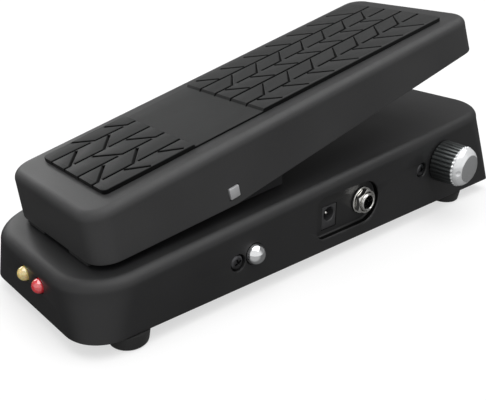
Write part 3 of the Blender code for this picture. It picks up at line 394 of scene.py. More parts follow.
def lens(name, colour, glow):
    """A tinted diffused lens: a clouded body that scatters light, under a clear gloss."""
    graph = Graph(name, colour, 0.12)
    clouds = graph.noise(1.6 * MM, 3)
    tone = graph.mix(graph.ramp(clouds, 0.3, 0.7), shade(colour, 0.75), colour)
    graph.set("Base Color", tone)
    graph.set("Subsurface Weight", 0.6)
    graph.set("Subsurface Radius", (1.0, 0.4, 0.2))
    graph.set("Subsurface Scale", 0.9 * MM)
    graph.set("Coat Weight", 1.0)
    graph.set("Coat Roughness", 0.06)
    graph.set("Coat IOR", 2.3)
    graph.set("Emission Color", tone)
    graph.set("Emission Strength", glow)
    graph.set("Roughness", graph.ramp(clouds, 0.3, 0.7, 0.12, 0.22))
    graph.bump(graph.noise(0.5 * MM), 0.01 * MM, 0.2)
    return graph


def circuit_board(name, colour):
    """Solder-masked board: darker bare areas between raised, lighter tracks."""
    graph = Graph(name, colour, 0.35)
    tracks = graph.ramp(graph.cells(5 * MM, "DISTANCE_TO_EDGE"), 0.05, 0.09)
    weave = graph.noise(0.4 * MM, 2)
    tone = graph.mix(tracks, shade(colour, 1.8), shade(colour, 0.9))
    woven = graph.ramp(weave, 0.4, 0.7, 0, 0.3)
    graph.set("Base Color", graph.mix(woven, tone, shade(colour, 0.6)))
    graph.set("Roughness", graph.ramp(weave, 0.3, 0.7, 0.3, 0.45))
    graph.bump(tracks, -0.035 * MM, 0.8)
    return graph


def battery_wrap(name, colour):
    """A printed sleeve: a dark body with a plain copper-coloured band at one end."""
    graph = Graph(name, colour, 0.3, 0.3)
    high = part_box("battery")[1]
    band = graph.ramp(graph.distance_from(high, RIGHT), -14 * MM, -13.6 * MM)
    scuffs = graph.noise(3 * MM, 6)
    tone = graph.mix(band, colour, (0.45, 0.20, 0.08))
    scuffed = graph.ramp(scuffs, 0.55, 0.75, 0, 0.3)
    graph.set("Base Color", graph.mix(scuffed, tone, (0.3, 0.3, 0.3)))
    graph.set("Roughness", graph.ramp(scuffs, 0.4, 0.7, 0.28, 0.45))
    graph.bump(scuffs, 0.03 * MM, 0.3)
    return graph


def studio_floor_material(name):
    """Even white board with a barely visible tooth, evened out to the eye by a soft glow."""
    graph = Graph(name, (0.37, 0.37, 0.37), 0.6)
    tooth = graph.noise(1.2 * MM, 3)
    broad = graph.noise(300 * MM, 2)
    tone = graph.mix(graph.ramp(broad, 0.3, 0.7), (0.365, 0.365, 0.365), (0.375, 0.375, 0.375))
    graph.set("Base Color", tone)
    graph.set("Roughness", graph.ramp(tooth, 0.3, 0.7, 0.55, 0.65))
    graph.set("Specular IOR Level", 0.0)
    graph.set("Emission Color", (1, 1, 1, 1))
    graph.set("Emission Strength", graph.maths("MULTIPLY", graph.eye(), FLOOR_GLOW))
    return graph.material


# Every slot's recipe, colour, roughness and the recipe's own amounts
RECIPES = {
    "housing_paint": (housing_paint, (0.013, 0.013, 0.0135), 0.40),
    "treadle_paint": (coated_metal, (0.028, 0.028, 0.0285), 0.44),
    "bracket_paint": (coated_metal, (0.016, 0.016, 0.017), 0.55),
    "tread_rubber": (grooved_rubber, (0.011, 0.0115, 0.0115), 0.55),
    "foot_rubber": (rubber, (0.010, 0.010, 0.010), 0.62, 0.1),
    "bumper_rubber": (rubber, (0.012, 0.012, 0.012), 0.75, 0.1),
    "zinc_plate": (plated, (0.56, 0.57, 0.58), 0.34, (1, 0.15, 1), 0.14),
    "black_screw": (plated, (0.10, 0.10, 0.105), 0.24, (1, 1, 1), 0.12),
    "shaft_steel": (sawn_steel, (0.58, 0.58, 0.59), 0.30),
    "spring_steel": (plated, (0.48, 0.48, 0.50), 0.28, (1, 1, 0.2), 0.12),
    "chrome": (plated, (0.86, 0.87, 0.88), 0.045, (0.2, 1, 1), 0.04),
    "nickel": (plated, (0.80, 0.79, 0.76), 0.14, (1, 1, 1), 0.08),
    "acetal": (plastic, (0.74, 0.73, 0.68), 0.42),
    "black_plastic": (plastic, (0.040, 0.040, 0.042), 0.45),
    "grey_plastic": (plastic, (0.15, 0.15, 0.16), 0.50),
    "board_green": (circuit_board, (0.02, 0.14, 0.06)),
    "pot_steel": (plated, (0.56, 0.55, 0.52), 0.32, (1, 1, 1), 0.12),
    "amber_lens": (lens, (0.80, 0.62, 0.22), 0.06),
    "red_lens": (lens, (0.78, 0.025, 0.04), 0.10),
    "clear_lens": (lens, (0.75, 0.80, 0.86), 0.0),
    "battery_wrap": (battery_wrap, (0.02, 0.02, 0.025)),
    "wire_sleeve": (plastic, (0.28, 0.02, 0.02), 0.40, 0.3),
}
MATERIALS = {slot: recipe(slot, *rest).material for slot, (recipe, *rest) in RECIPES.items()}


def dress_cad_nodes():
    """Give every CAD node the finished material of its slot in the record."""
    for entry in frame["record"]["subparts"]:
        node = frame["nodes"][entry["node"]]
        node.data.materials.clear()
        node.data.materials.append(MATERIALS[entry["material_slot"]])


# ---- modelling tools

def finished_mesh(name, bm):
    bmesh.ops.recalc_face_normals(bm, faces=bm.faces)
    if bm.calc_volume(signed=True) < 0:
        bmesh.ops.reverse_faces(bm, faces=bm.faces)
    mesh = bpy.data.meshes.new(name)
    bm.to_mesh(mesh)
    bm.free()
    return mesh


def loft(name, rings, marks=None):
    """A closed body over rings of equal length; marks is each ring's edge value."""
    bm = bmesh.new()
    layer = bm.verts.layers.float.new("edge")
    loops = []
    for index, ring in enumerate(rings):
        loop = [bm.verts.new(point) for point in ring]
        for vert in loop:
            vert[layer] = marks[index] if marks else 0
        loops.append(loop)
    count = len(loops[0])
    for lower, upper in zip(loops, loops[1:]):
        for step in range(count):
            after = (step + 1) % count
            bm.faces.new((lower[step], lower[after], upper[after], upper[step]))
    bm.faces.new(loops[0])
    bm.faces.new(loops[-1])
    return finished_mesh(name, bm)


def stack(name, rings_list):
    """Several separate closed lofts in one mesh."""
    bm = bmesh.new()
    for rings in rings_list:
        part = loft(name, rings)
        bm.from_mesh(part)
        bpy.data.meshes.remove(part)
    mesh = bpy.data.meshes.new(name)
    bm.to_mesh(mesh)
    bm.free()
    return mesh


def axis_frame(place, direction):
    """A matrix that turns +Z to a direction and moves the origin to a place."""
    return Matrix.Translation(place) @ direction.to_track_quat("Z", "Y").to_matrix().to_4x4()


def lathe(name, profile, place, direction, steps=64, closed=False, turn=0):
    """A body turned from (radius, height) points in millimetres about an axis."""
    bm = bmesh.new()
    spots = [bm.verts.new((r * MM, 0, h * MM)) for r, h in profile]
    edges = [bm.edges.new(pair) for pair in zip(spots, spots[1:])]
    if closed:
        edges.append(bm.edges.new((spots[-1], spots[0])))
    turned = {"cent": (0, 0, 0), "axis": (0, 0, 1), "angle": 2 * math.pi}
    bmesh.ops.spin(bm, geom=spots + edges, steps=steps, use_merge=True, **turned)
    bmesh.ops.remove_doubles(bm, verts=bm.verts, dist=0.001 * MM)
    bm.transform(axis_frame(place, direction) @ Matrix.Rotation(math.radians(turn), 4, "Z"))
    return finished_mesh(name, bm)


def box_mesh(name, low, high, bevel=0.0):
    bm = bmesh.new()
    size = Matrix.Diagonal((*(high - low), 1))
    bmesh.ops.create_cube(bm, size=1, matrix=Matrix.Translation((low + high) / 2) @ size)
    if bevel:
        bmesh.ops.bevel(bm, geom=bm.edges, offset=bevel, segments=2, affect="EDGES", profile=0.5)
    return finished_mesh(name, bm)


def arc(centre_a, centre_b, radius, start, end, steps):
    angles = [math.radians(start + (end - start) * step / steps) for step in range(steps + 1)]
    return [(centre_a + radius * math.cos(a), centre_b + radius * math.sin(a)) for a in angles]


def piece(mesh, slot, body, *nodes, crease=32):
    """Show a mesh in place of CAD nodes: smooth, but sharp where it turns by the crease."""
    mesh.shade_smooth()
    mesh.set_sharp_from_angle(angle=math.radians(crease))
    mesh.materials.clear()
    mesh.materials.append(MATERIALS[slot])
    shown = new_object(mesh.name, mesh)
    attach(shown, body)
    if nodes:
        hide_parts(*nodes)
    return shown


def carved(mesh, cuts, operation="DIFFERENCE", crossing=False):
    """The mesh after Booleans with each cutter mesh in turn, which may cross itself."""
    host = new_object("host", mesh)
    helpers = [host]
    for cut in cuts:
        cutter = new_object("cutter", cut)
        helpers.append(cutter)
        modifier = host.modifiers.new("cut", "BOOLEAN")
        modifier.operation = operation
        modifier.solver = "EXACT"
        modifier.use_self = crossing
        modifier.object = cutter
    graph = bpy.context.evaluated_depsgraph_get()
    result = bpy.data.meshes.new_from_object(host.evaluated_get(graph))
    result.name = mesh.name
    for helper in helpers:
        bpy.data.objects.remove(helper)
    return result


def add_rim(rings, marks, size, outline, top):
    """Roll a shell's top edge over by its size, and close it with a flat top."""
    for inset, rise in arc(size, 0, size, 180, 90, 9):
        rings.append([(x, y, top(y) - size + rise) for x, y in outline(inset)])
        marks.append(math.sin(math.pi * min(inset / size, 1)) * 0.8)
    rings.append([(x, y, top(y)) for x, y in outline(size + 3 * MM)])
    marks.append(0)


def outline_between(half_width, heel, toe, heel_radius, toe_radius, spots):
    """A round-cornered outline from above, with extra points along each side."""
    right_heel = arc(half_width - heel_radius, heel + heel_radius, heel_radius, -90, 0, 14)
    right_toe = arc(half_width - toe_radius, toe - toe_radius, toe_radius, 0, 90, 14)
    right = right_heel + [(half_width, y) for y in spots] + right_toe
    return right + [(-x, y) for x, y in reversed(right)]


# ---- housing

def wedge_top(y):
    return HEEL_HEIGHT + (TOE_HEIGHT - HEEL_HEIGHT) * (y / BASE_LENGTH + 0.5)


def base_outline(rise, inset):
    wall = wedge_top(0) - BASE_RIM - BASE_BOTTOM
    toe_wall = TOE_HEIGHT - BASE_RIM - BASE_BOTTOM
    half_width = BASE_WIDTH / 2 - SIDE_DRAFT * wall * rise - inset
    heel = -BASE_LENGTH / 2 + inset
    toe = BASE_LENGTH / 2 - TOE_DRAFT * toe_wall * rise - inset
    heel_radius = HEEL_CORNER_LOW + (HEEL_CORNER_HIGH - HEEL_CORNER_LOW) * rise - inset
    toe_radius = max(TOE_CORNER_LOW + (TOE_CORNER_HIGH - TOE_CORNER_LOW) * rise - inset, MM)
    spots = [step * 20 * MM for step in range(-4, 5)]
    points = outline_between(half_width, heel, toe, heel_radius, toe_radius, spots)
    return [(x * (1 + BASE_TAPER * y / BASE_LENGTH), y) for x, y in points]


def outer_half_width(y, z):
    return (BASE_WIDTH / 2 - SIDE_DRAFT * (z - BASE_BOTTOM)) * (1 + BASE_TAPER * y / BASE_LENGTH)


def base_shell():
    rings = [[(x, y, wedge_top(y) - BASE_WALL) for x, y in base_outline(1, BASE_WALL)]]
    for inset in (BASE_WALL, 0.5 * MM):
        rings.append([(x, y, BASE_BOTTOM) for x, y in base_outline(0, inset)])
    marks = [0, 0, 0.6]
    for share in (0.0, 0.25, 0.5, 0.75):
        ring = []
        for x, y in base_outline(share, 0):
            low, high = BASE_BOTTOM + 0.5 * MM, wedge_top(y) - BASE_RIM
            ring.append((x, y, low + (high - low) * share))
        rings.append(ring)
        marks.append(0)
    add_rim(rings, marks, BASE_RIM, lambda inset: base_outline(1, inset), wedge_top)
    return moved(loft("housing_shell", rings, marks))


def moved(mesh):
    mesh.transform(Matrix.Translation(ORIGIN))
    return mesh


def pocket_outline(grow):
    middle = (POCKET_BOTTOM + POCKET_TOP) / 2
    toe_radius = (POCKET_TOP - POCKET_BOTTOM) / 2
    bottom, top = POCKET_BOTTOM + POCKET_HEEL_RADIUS, POCKET_TOP - POCKET_HEEL_RADIUS
    heel = POCKET_HEEL + POCKET_HEEL_RADIUS
    radius = POCKET_HEEL_RADIUS + grow
    points = arc(POCKET_TOE - toe_radius, middle, toe_radius + grow, -90, 90, 28)
    return points + arc(heel, top, radius, 90, 180, 10) + arc(heel, bottom, radius, 180, 270, 10)


def pocket_body(name, stages):
    """A body with the pocket's outline, grown by an amount at each depth."""
    return moved(loft(name, [[(x, y, z) for y, z in pocket_outline(grow)] for x, grow in stages]))


def pocket_cut():
    """The pocket, with a rounded floor edge and a mouth that rolls over."""
    face_x, flare, fillet = 42.75 * MM, 0.6 * MM, 0.8 * MM
    floor_round = arc(fillet, 0, fillet, 180, 90, 4)
    stages = [(POCKET_FLOOR_X + fillet - rise, -inset) for inset, rise in reversed(floor_round)]
    stages += [(face_x - flare + rise, inset) for inset, rise in arc(flare, 0, flare, 180, 90, 5)]
    return pocket_body("pocket", stages + [(face_x + 3 * MM, flare + MM)])


def pocket_backing():
    stages = [(POCKET_BACK_X, 2.5 * MM), (POCKET_FLOOR_X + MM, 2.5 * MM)]
    return pocket_body("pocket_backing", stages)


def on_side(node, direction, reach=None):
    """A node's middle, moved out to the housing's side or to a reach of its own."""
    spot = centre(node)
    spot.x = ORIGIN.x + direction.x * (reach or outer_half_width(spot.y - ORIGIN.y, spot.z))
    return spot


def bore(name, place, direction, radius, depth, flare=0.35, way=0):
    """A round cutter, flared at the face, with a narrower way on through the wall."""
    mouth = [(radius + flare, 1.5), (radius + flare, 0), (radius + 0.3 * flare, -0.3 * flare)]
    mouth.append((radius, -flare))
    end = [(way, -depth), (way, -THROUGH), (0, -THROUGH)] if way else [(0, -depth)]
    return lathe(name, [(0, 1.5), *mouth, (radius, -depth), *end], place, direction, 40)


def side_cuts():
    """Every round hole in the two sides and the heel face."""
    cuts = []
    for node, direction in SCREWS:
        hole = (SCREW_HOLE, SCREW_HOLE_DEPTH, 0.4, SCREW_WAY)
        cuts.append(bore("screw_hole", on_side(node, direction), direction, *hole))
    cuts.append(bore("button_hole", on_side("button_cap", RIGHT), RIGHT, BUTTON_HOLE, THROUGH, 0.2))
    cuts.append(bore("knob_hole", on_side("control_knob", RIGHT), RIGHT, KNOB_HOLE, THROUGH))
    jack = on_side("input_jack_washer", RIGHT, POCKET_FLOOR_X)
    cuts.append(bore("jack_hole", jack, RIGHT, JACK_HOLE, THROUGH, 0.2))
    for lamp in ("led_amber", "led_red"):
        spot = centre(lamp)
        spot.y = base_low.y
        cuts.append(bore("lamp_hole", spot, TO_HEEL, LAMP_HOLE, THROUGH, 0.3))
    return cuts


def build_housing():
    face = on_side("output_jack_washer", LEFT)
    floor = on_side("output_jack_washer", LEFT, POCKET_FLOOR_X)
    depth = (floor.x - face.x) / MM
    far_recess = bore("far_recess", face, LEFT, FAR_RECESS, depth, 0.7, JACK_HOLE)
    backing = lathe("far_backing", [(0, 3), (12, 3), (12, -1), (0, -1)], floor, RIGHT, 48)
    shell = carved(base_shell(), [pocket_backing(), backing], "UNION")
    low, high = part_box("power_socket")
    socket_way = box_mesh(
        "socket_way",
        Vector((high.x - 8 * MM, low.y - GAP, SOCKET_BOTTOM - GAP)),
        Vector((high.x + MM, high.y + GAP, high.z + GAP)),
        0.4 * MM,
    )
    slot_low = ORIGIN + Vector((-2, -61, 20)) * MM
    slot_high = ORIGIN + Vector((2, -41, 60)) * MM
    slot = box_mesh("vane_slot", slot_low, slot_high)
    shell = carved(shell, [pocket_cut(), socket_way, slot, *side_cuts(), far_recess])
    piece(shell, "housing_paint", "base", "base_housing")


# ---- treadle

def treadle_outline(depth, inset):
    half_width = TREADLE_WIDTH / 2 + TREADLE_SIDE_DRAFT * depth - inset
    heel = TREADLE_HEEL - TREADLE_END_DRAFT * depth + inset
    toe = TREADLE_TOE + TREADLE_END_DRAFT * depth - inset
    radius = max(TREADLE_CORNER - inset, 2 * MM)
    length = TREADLE_TOE - TREADLE_HEEL
    middle = (TREADLE_TOE + TREADLE_HEEL) / 2 - 5.2 * MM
    spots = [-30 * MM, WAIST_Y, 40 * MM, 80 * MM, 120 * MM]
    points = outline_between(half_width, heel, toe, radius, radius, spots)
    return [(x * (1 + TREADLE_TAPER * (y - middle) / length), y) for x, y in points]


def skirt_edge(y):
    if y < WAIST_Y:
        share = (WAIST_Y - y) / (WAIST_Y - TREADLE_HEEL)
        return SKIRT_WAIST + (SKIRT_HEEL - SKIRT_WAIST) * share
    share = (y - WAIST_Y) / (TREADLE_TOE - WAIST_Y)
    return SKIRT_WAIST + (SKIRT_TOE - SKIRT_WAIST) * share


def treadle_shell():
    skirt = TREADLE_TOP - TREADLE_RIM - SKIRT_WAIST
    ceiling = TREADLE_TOP - TREADLE_WALL
    rings = [[(x, y, ceiling) for x, y in treadle_outline(0, TREADLE_WALL)]]
    for inset in (TREADLE_WALL, 0.4 * MM):
        rings.append([(x, y, skirt_edge(y)) for x, y in treadle_outline(skirt, inset)])
    marks = [0, 0, 0.6]
    shoulder = TREADLE_TOP - TREADLE_RIM
    for share in (1.0, 0.66, 0.33):
        ring = []
        for x, y in treadle_outline(skirt * share, 0):
            low = skirt_edge(y) + 0.4 * MM
            ring.append((x, y, shoulder + (low - shoulder) * share))
        rings.append(ring)
        marks.append(0)
    add_rim(
        rings, marks, TREADLE_RIM, lambda inset: treadle_outline(0, inset), lambda y: TREADLE_TOP
    )
    return loft("treadle_cover", rings, marks)


def on_treadle(mesh):
    mesh.transform(TREADLE_PLACE @ Matrix.Translation((0, 0, -0.06 * MM)))
    return mesh


def treadle_posts():
    """The spring's post, upright at rest, and the two posts of the toe bumpers."""
    to_local = TREADLE_PLACE.inverted()
    low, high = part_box("return_spring")
    foot = to_local @ Vector(((low.x + high.x) / 2, (low.y + high.y) / 2, high.z + GAP))
    upright = to_local.to_3x3() @ UP
    profile = [(0, 9.5), (7, 9.5), (7, 0.5), (6.5, 0), (0, 0)]
    posts = [lathe("spring_post", profile, foot, upright, 40)]
    for hand in ("left", "right"):
        top = to_local @ centre(f"toe_bumper_{hand}")
        top.z += 3 * MM
        profile = [(0, 15.2), (5, 15.2), (5, 0), (0, 0)]
        posts.append(lathe("bumper_post", profile, top, UP, 40))
    return posts


def build_treadle():
    shell = carved(treadle_shell(), treadle_posts(), "UNION")
    half = SHAFT_SIZE / 2 + GAP
    reach = 45 * MM
    hole = box_mesh("shaft_hole", Vector((-reach, -half, -half)), Vector((reach, half, half)))
    shell = carved(shell, [hole])
    piece(on_treadle(shell), "treadle_paint", "treadle", "treadle_shell")


def build_shaft():
    """The square bar, sawn and lightly chamfered at both ends."""
    low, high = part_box("pivot_shaft")
    half = Vector(((high.x - low.x) / 2, SHAFT_SIZE / 2, SHAFT_SIZE / 2))
    bar = box_mesh("square_shaft", -half, half, 0.3 * MM)
    piece(on_treadle(bar), "shaft_steel", "treadle", "pivot_shaft")


# ---- mat

def mat_half_width(along):
    share = (along - MAT_START) / (MAT_END - MAT_START)
    return (MAT_HEEL_WIDTH + (MAT_TOE_WIDTH - MAT_HEEL_WIDTH) * share) / 2


def mat_body():
    """The mat's body as sections across it, with rounded corners and top edges."""
    corner = 2 * MM
    turn = arc(corner, corner, corner, 180, 270, 5)
    stations = [(MAT_START + y, x, MAT_GRIP) for x, y in reversed(turn)]
    step, ease = 0.55 * MM, 0.2 * MM
    heel, toe = MAT_HEEL_GRIP_END, MAT_TOE_GRIP_START
    eased = MAT_GRIP - ease
    stations += [(heel - ease, 0, MAT_GRIP), (heel, 0, eased), (heel + step, 0, MAT_PANEL)]
    stations += [(toe - step, 0, MAT_PANEL), (toe, 0, eased), (toe + ease, 0, MAT_GRIP)]
    stations += [(MAT_END - y, x, MAT_GRIP) for x, y in turn]
    edge = 0.35 * MM
    rings = []
    for along, inset, top in stations:
        half = mat_half_width(along) - inset
        y = TREADLE_HEEL + along
        low, high = TREADLE_TOP + 0.02 * MM, TREADLE_TOP + top
        ring = [(-half, y, low), (half, y, low), (half, y, high - edge)]
        ring += [(half - 0.3 * edge, y, high - 0.3 * edge), (half - edge, y, high)]
        ring += [(edge - half, y, high), (0.3 * edge - half, y, high - 0.3 * edge)]
        ring.append((-half, y, high - edge))
        rings.append(ring)
    return loft("ribbed_mat", rings)


def groove_section():
    """Half-widths and heights of a groove: a flat floor, steep sides, eased lips."""
    top, width = MAT_GRIP, GROOVE_WIDTH
    return (
        (0.28 * width, top - GROOVE_DEPTH),
        (0.42 * width, top - 0.35 * MM),
        (0.50 * width, top - 0.12 * MM),
        (0.68 * width, top + 0.02 * MM),
        (0.68 * width, top + 0.6 * MM),
    )


def groove(path, taper=1.0):
    """Rings of a cutter along a path of (across, along) points, tapered in its last run."""
    points = [Vector(point) for point in path]
    section = groove_section()
    profile = [(-half, height) for half, height in reversed(section)] + list(section)
    rings = []
    for index, point in enumerate(points):
        before = (point - points[index - 1]).normalized() if index else None
        after = (points[index + 1] - point).normalized() if index + 1 < len(points) else None
        heading = ((before or after) + (after or before)).normalized()
        side = Vector((heading.y, -heading.x))
        spread = 1 / max(side.dot(Vector(((after or before).y, -(after or before).x))), 0.5)
        if index + 1 == len(points):
            spread = taper
        ring = []
        for offset, height in profile:
            spot = point + side * offset * spread
            ring.append((spot.x, TREADLE_HEEL + spot.y, TREADLE_TOP + height))
        rings.append(ring)
    return rings


def slant(start, across):
    """A slanted run from a start point to another place across the mat."""
    return [start, (across, start[1] + 0.85 * abs(across - start[0]))]


def toe_grooves():
    """The toe end's tread: two unbroken lines and slanted ribs between them."""
    far, b, c, d = GROOVE_LINES
    low, high = MAT_TOE_GRIP_START - MM, MAT_END - 0.6 * MM
    long_lines = [[(line, low), (line, high)] for line in (far, c)]
    ribs = []
    lip = 0.9 * MM
    first = MAT_TOE_GRIP_START + 4.6 * MM
    for count in range(7):
        along = first + GROOVE_PERIOD * count
        edge = mat_half_width(along) - lip
        ribs += [slant((-edge, along), far - lip), slant((b + MM, along), c - lip)]
        ribs.append(slant((d + lip, along), edge))
    turned = []
    for line, short_of in ((b, far + 1.3 * MM), (d, c + 1.3 * MM)):
        for count in range(8):
            turn = MAT_TOE_GRIP_START + 9.7 * MM + GROOVE_PERIOD * count
            start = max(turn - 12.5 * MM, low)
            if count < 7:
                turned.append([(line, start), (line, turn), slant((line, turn), short_of)[1]])
            else:
                ribs.append([(line, start), (line, high)])
    return long_lines, ribs, turned


def heel_grooves():
    """The heel end's tread, where every line is broken and turns aside."""
    a, b, c, d = GROOVE_LINES
    start, end = MAT_START - MM, MAT_HEEL_GRIP_END + MM
    ribs = [[(a, start), (a, 31.2 * MM)], [(c, start), (c, 31.2 * MM)]]
    for line, wall in ((a, -mat_half_width(30 * MM) + 0.7 * MM), (c, b + 1.2 * MM)):
        reach = 0.9 * abs(line - wall)
        for turn, stop in ((33.3 * MM, 47.2 * MM), (49.2 * MM, end)):
            ribs.append([(wall, turn - reach), (line, turn), (line, stop)])
    for line, wall in ((b, a + 1.3 * MM), (d, c + 1.3 * MM)):
        reach = 0.9 * abs(line - wall)
        for first, turn in ((start, 15.7 * MM), (17.6 * MM, 31.2 * MM)):
            ribs.append([(line, first), (line, turn), (wall, turn + reach)])
        ribs.append([(line, 33.4 * MM), (line, end)])
    edge = mat_half_width(35 * MM) - 0.7 * MM
    ribs.append([(d + MM, 26.4 * MM), (edge, 34.2 * MM)])
    ribs.append([(d + MM, 42 * MM), (edge, 49.6 * MM)])
    return ribs


def build_mat():
    long_lines, ribs, turned = toe_grooves()
    ribs += heel_grooves()
    cutters = [stack("long_grooves", [groove(path) for path in long_lines])]
    rings = [groove(path) for path in ribs] + [groove(path, 0.45) for path in turned]
    cutters.append(stack("ribs", rings))
    mat = carved(mat_body(), cutters, crossing=True)
    piece(on_treadle(mat), "tread_rubber", "treadle", "tread_mat", crease=40)


# ---- small parts

def build_feet():
    profile = [(1.9, 6), (8.2, 6), (8.2, 5.4), (7.55, 1.2), (7.35, 0.6), (6.9, 0.15), (6.5, 0)]
    profile += [(4.5, 0), (4.2, 0.3), (4.2, 2.4), (1.9, 2.4)]
    for end in ("heel", "toe"):
        for hand in ("left", "right"):
            node = f"foot_{end}_{hand}"
            place = centre(node)
            place.z = 0
            foot = lathe(f"rubber_{node}", profile, place, UP, 64, closed=True)
            piece(foot, "foot_rubber", "base", node, crease=50)


def spring_height(turn):
    """How high the spring's wire lies after some turns, with closed end coils."""
    closed = 1.3 * MM
    if turn < 1:
        return closed * turn
    if turn > SPRING_TURNS - 1:
        return SPRING_RISE - closed * (SPRING_TURNS - turn)
    return closed + (SPRING_RISE - 2 * closed) * (turn - 1) / (SPRING_TURNS - 2)


def build_spring():
    """The coil spring, wound up from its seat."""
    low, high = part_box("return_spring")
    radius = (high.x - low.x) / 2 - SPRING_WIRE
    foot = Vector(((low.x + high.x) / 2, (low.y + high.y) / 2, low.z + SPRING_WIRE))
    steps = 36
    rings = []
    for index in range(SPRING_TURNS * steps + 1):
        turn = index / steps
        outward = Vector((math.cos(2 * math.pi * turn), math.sin(2 * math.pi * turn), 0))
        middle = foot + outward * radius + UP * spring_height(turn)
        section = arc(0, 0, SPRING_WIRE, 0, 330, 11)
        rings.append([middle + outward * across + UP * rise for across, rise in section])
    coil = piece(loft("coil_spring", rings), "spring_steel", "base", "return_spring", crease=50)
    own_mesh(coil)


def cross_recess(place, direction, top):
    """A cutter for a driver cross: two tapered blades in one plus-shaped outline."""
    rings = []
    blades = ((top - 1.1, 1.1, 0.22), (top - 0.3, 1.6, 0.36), (top + 0.6, 1.9, 0.42))
    for height, reach, half in blades:
        quarter = [(reach, -half), (reach, half), (half, half)]
        ring = []
        for count in range(4):
            turn = Matrix.Rotation(count * math.pi / 2 + 0.4, 2)
            ring += [turn @ Vector(point) for point in quarter]
        rings.append([(x * MM, y * MM, height * MM) for x, y in ring])
    cutter = loft("recess", rings)
    cutter.transform(axis_frame(place, direction))
    return cutter


def outer_x(low, high, direction):
    """Where a box ends along X, on the side that the direction points to."""
    return high.x if direction.x > 0 else low.x


def build_side_screws():
    profile = [(0, SCREW_DOME), (1.2, 1.36), (2.2, 1.18), (2.9, 0.85), (3.25, 0.45), (3.4, 0.15)]
    profile += [(3.3, 0), (1.5, 0), (1.5, -7), (0, -7)]
    for node, direction in SCREWS:
        place = centre(node)
        place.x = outer_x(*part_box(node), direction) - direction.x * (SCREW_DOME * MM)
        screw = lathe(f"cross_{node}", profile, place, direction, 48)
        screw = carved(screw, [cross_recess(place, direction, 1.36)])
        piece(screw, "black_screw", "base", node)


def threaded(radius, start, end, pitch=0.8, depth=0.22):
    """Profile points of a shallow thread between two heights."""
    points = []
    for turn in range(round((end - start) / pitch)):
        height = start + turn * pitch
        points += [(radius - depth, height), (radius, height + 0.35 * pitch)]
        points.append((radius, height + 0.6 * pitch))
    return points


def jack_profile():
    """The turned nose of a jack, from its shoulder to its mouth and down its bore."""
    outer = threaded(JACK_THREAD, 0, 7.2)
    lip = [(4.1, 7.4), (4.2, 7.7), (3.95, JACK_NOSE), (3.55, JACK_NOSE), (JACK_BORE, 7.7)]
    return [(JACK_BORE, -JACK_NOSE), (JACK_THREAD, -JACK_NOSE), *outer, *lip]


def hexagon_nut(name, place, direction, corner, turn):
    """A nut with chamfered corners: a hexagon cut by a cone at both faces."""
    height, hole = 2.3, JACK_HOLE
    outline = [(0, height), (corner, height), (corner, 0), (0, 0)]
    prism = lathe(name, outline, place, direction, 6, turn=turn)
    flat = corner * 0.866
    cone = [(0, height + 0.01), (flat, height + 0.01), (corner + 0.02, height - 0.6)]
    cone += [(corner + 0.02, 0.3), (flat + 0.3, -0.01), (0, -0.01)]
    nut = carved(prism, [lathe("nut_cone", cone, place, direction, 64)], "INTERSECT")
    drill = [(0, height + 1), (hole + 0.35, height + 1), (hole + 0.35, height)]
    drill += [(hole, height - 0.35), (hole, -1), (0, -1)]
    return carved(nut, [lathe("nut_hole", drill, place, direction, 48)])


def build_jack(name, body_node, direction):
    washer_low, washer_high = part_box(f"{body_node}_washer")
    place = centre(f"{body_node}_washer")
    place.x = outer_x(washer_high, washer_low, direction)
    outer = (washer_high.z - washer_low.z) / 2 / MM
    washer = [(JACK_HOLE, 0), (JACK_HOLE, 0.62), (4.75, 0.8), (outer - 0.25, 0.8)]
    washer += [(outer, 0.6), (outer, 0.1), (outer - 0.15, 0)]
    rim = lathe(f"{name}_washer", list(reversed(washer)), place, direction, 64, closed=True)
    piece(rim, "nickel", "base", f"{body_node}_washer")

    low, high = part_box(f"{body_node}_nut")
    place.x = outer_x(high, low, direction)
    turn = 32 if direction.x > 0 else 28
    nut = hexagon_nut(f"{name}_nut", place, direction, (high.z - low.z) / 2 / MM, turn)
    piece(nut, "nickel", "base", f"{body_node}_nut")

    low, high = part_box(body_node)
    place.x = outer_x(low, high, direction) - direction.x * JACK_NOSE * MM
    nose = lathe(f"{name}_nose", jack_profile(), place, direction, 64, closed=True)
    piece(nose, "nickel", "base")

    back = direction.x * (POCKET_BACK_X - GAP) + ORIGIN.x
    inner = outer_x(high, low, direction)
    body_low = Vector((min(inner, back), low.y, low.z))
    body_high = Vector((max(inner, back), high.y, high.z))
    body = box_mesh(f"{name}_body", body_low, body_high, 0.5 * MM)
    channel = [(0, 30), (4.35, 30), (4.35, -2.5), (3.25, -2.5), (3.25, -20), (0, -20)]
    place.x = back
    body = carved(body, [lathe("channel", channel, place, direction, 48)])
    piece(body, "black_plastic", "base", body_node)


def build_power_socket():
    low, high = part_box("power_socket")
    pin = centre("power_pin")
    nose_low = Vector((high.x - 6 * MM, low.y, SOCKET_BOTTOM))
    back = ORIGIN.x + POCKET_BACK_X - GAP
    body = box_mesh("power_socket_body", low, Vector((back, high.y, high.z)), 0.3 * MM)
    nose = box_mesh("power_nose", nose_low, high, 0.35 * MM)
    body = carved(body, [nose], "UNION")
    mouth = Vector((high.x, pin.y, pin.z))
    hole = [(0, 1), (3.55, 1), (3.55, 0), (3.2, -0.35), (3.2, -THROUGH), (0, -THROUGH)]
    body = carved(body, [lathe("power_hole", hole, mouth, RIGHT, 48)])
    piece(body, "black_plastic", "base", "power_socket")
    tip = Vector((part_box("power_pin")[0].x - GAP, pin.y, pin.z))
    profile = [(0, 7.6), (0.45, 7.55), (0.8, 7.25), (1, 6.7), (1, 0.3), (0, 0.3)]
    piece(lathe("power_centre_pin", profile, tip, RIGHT, 32), "nickel", "base", "power_pin")


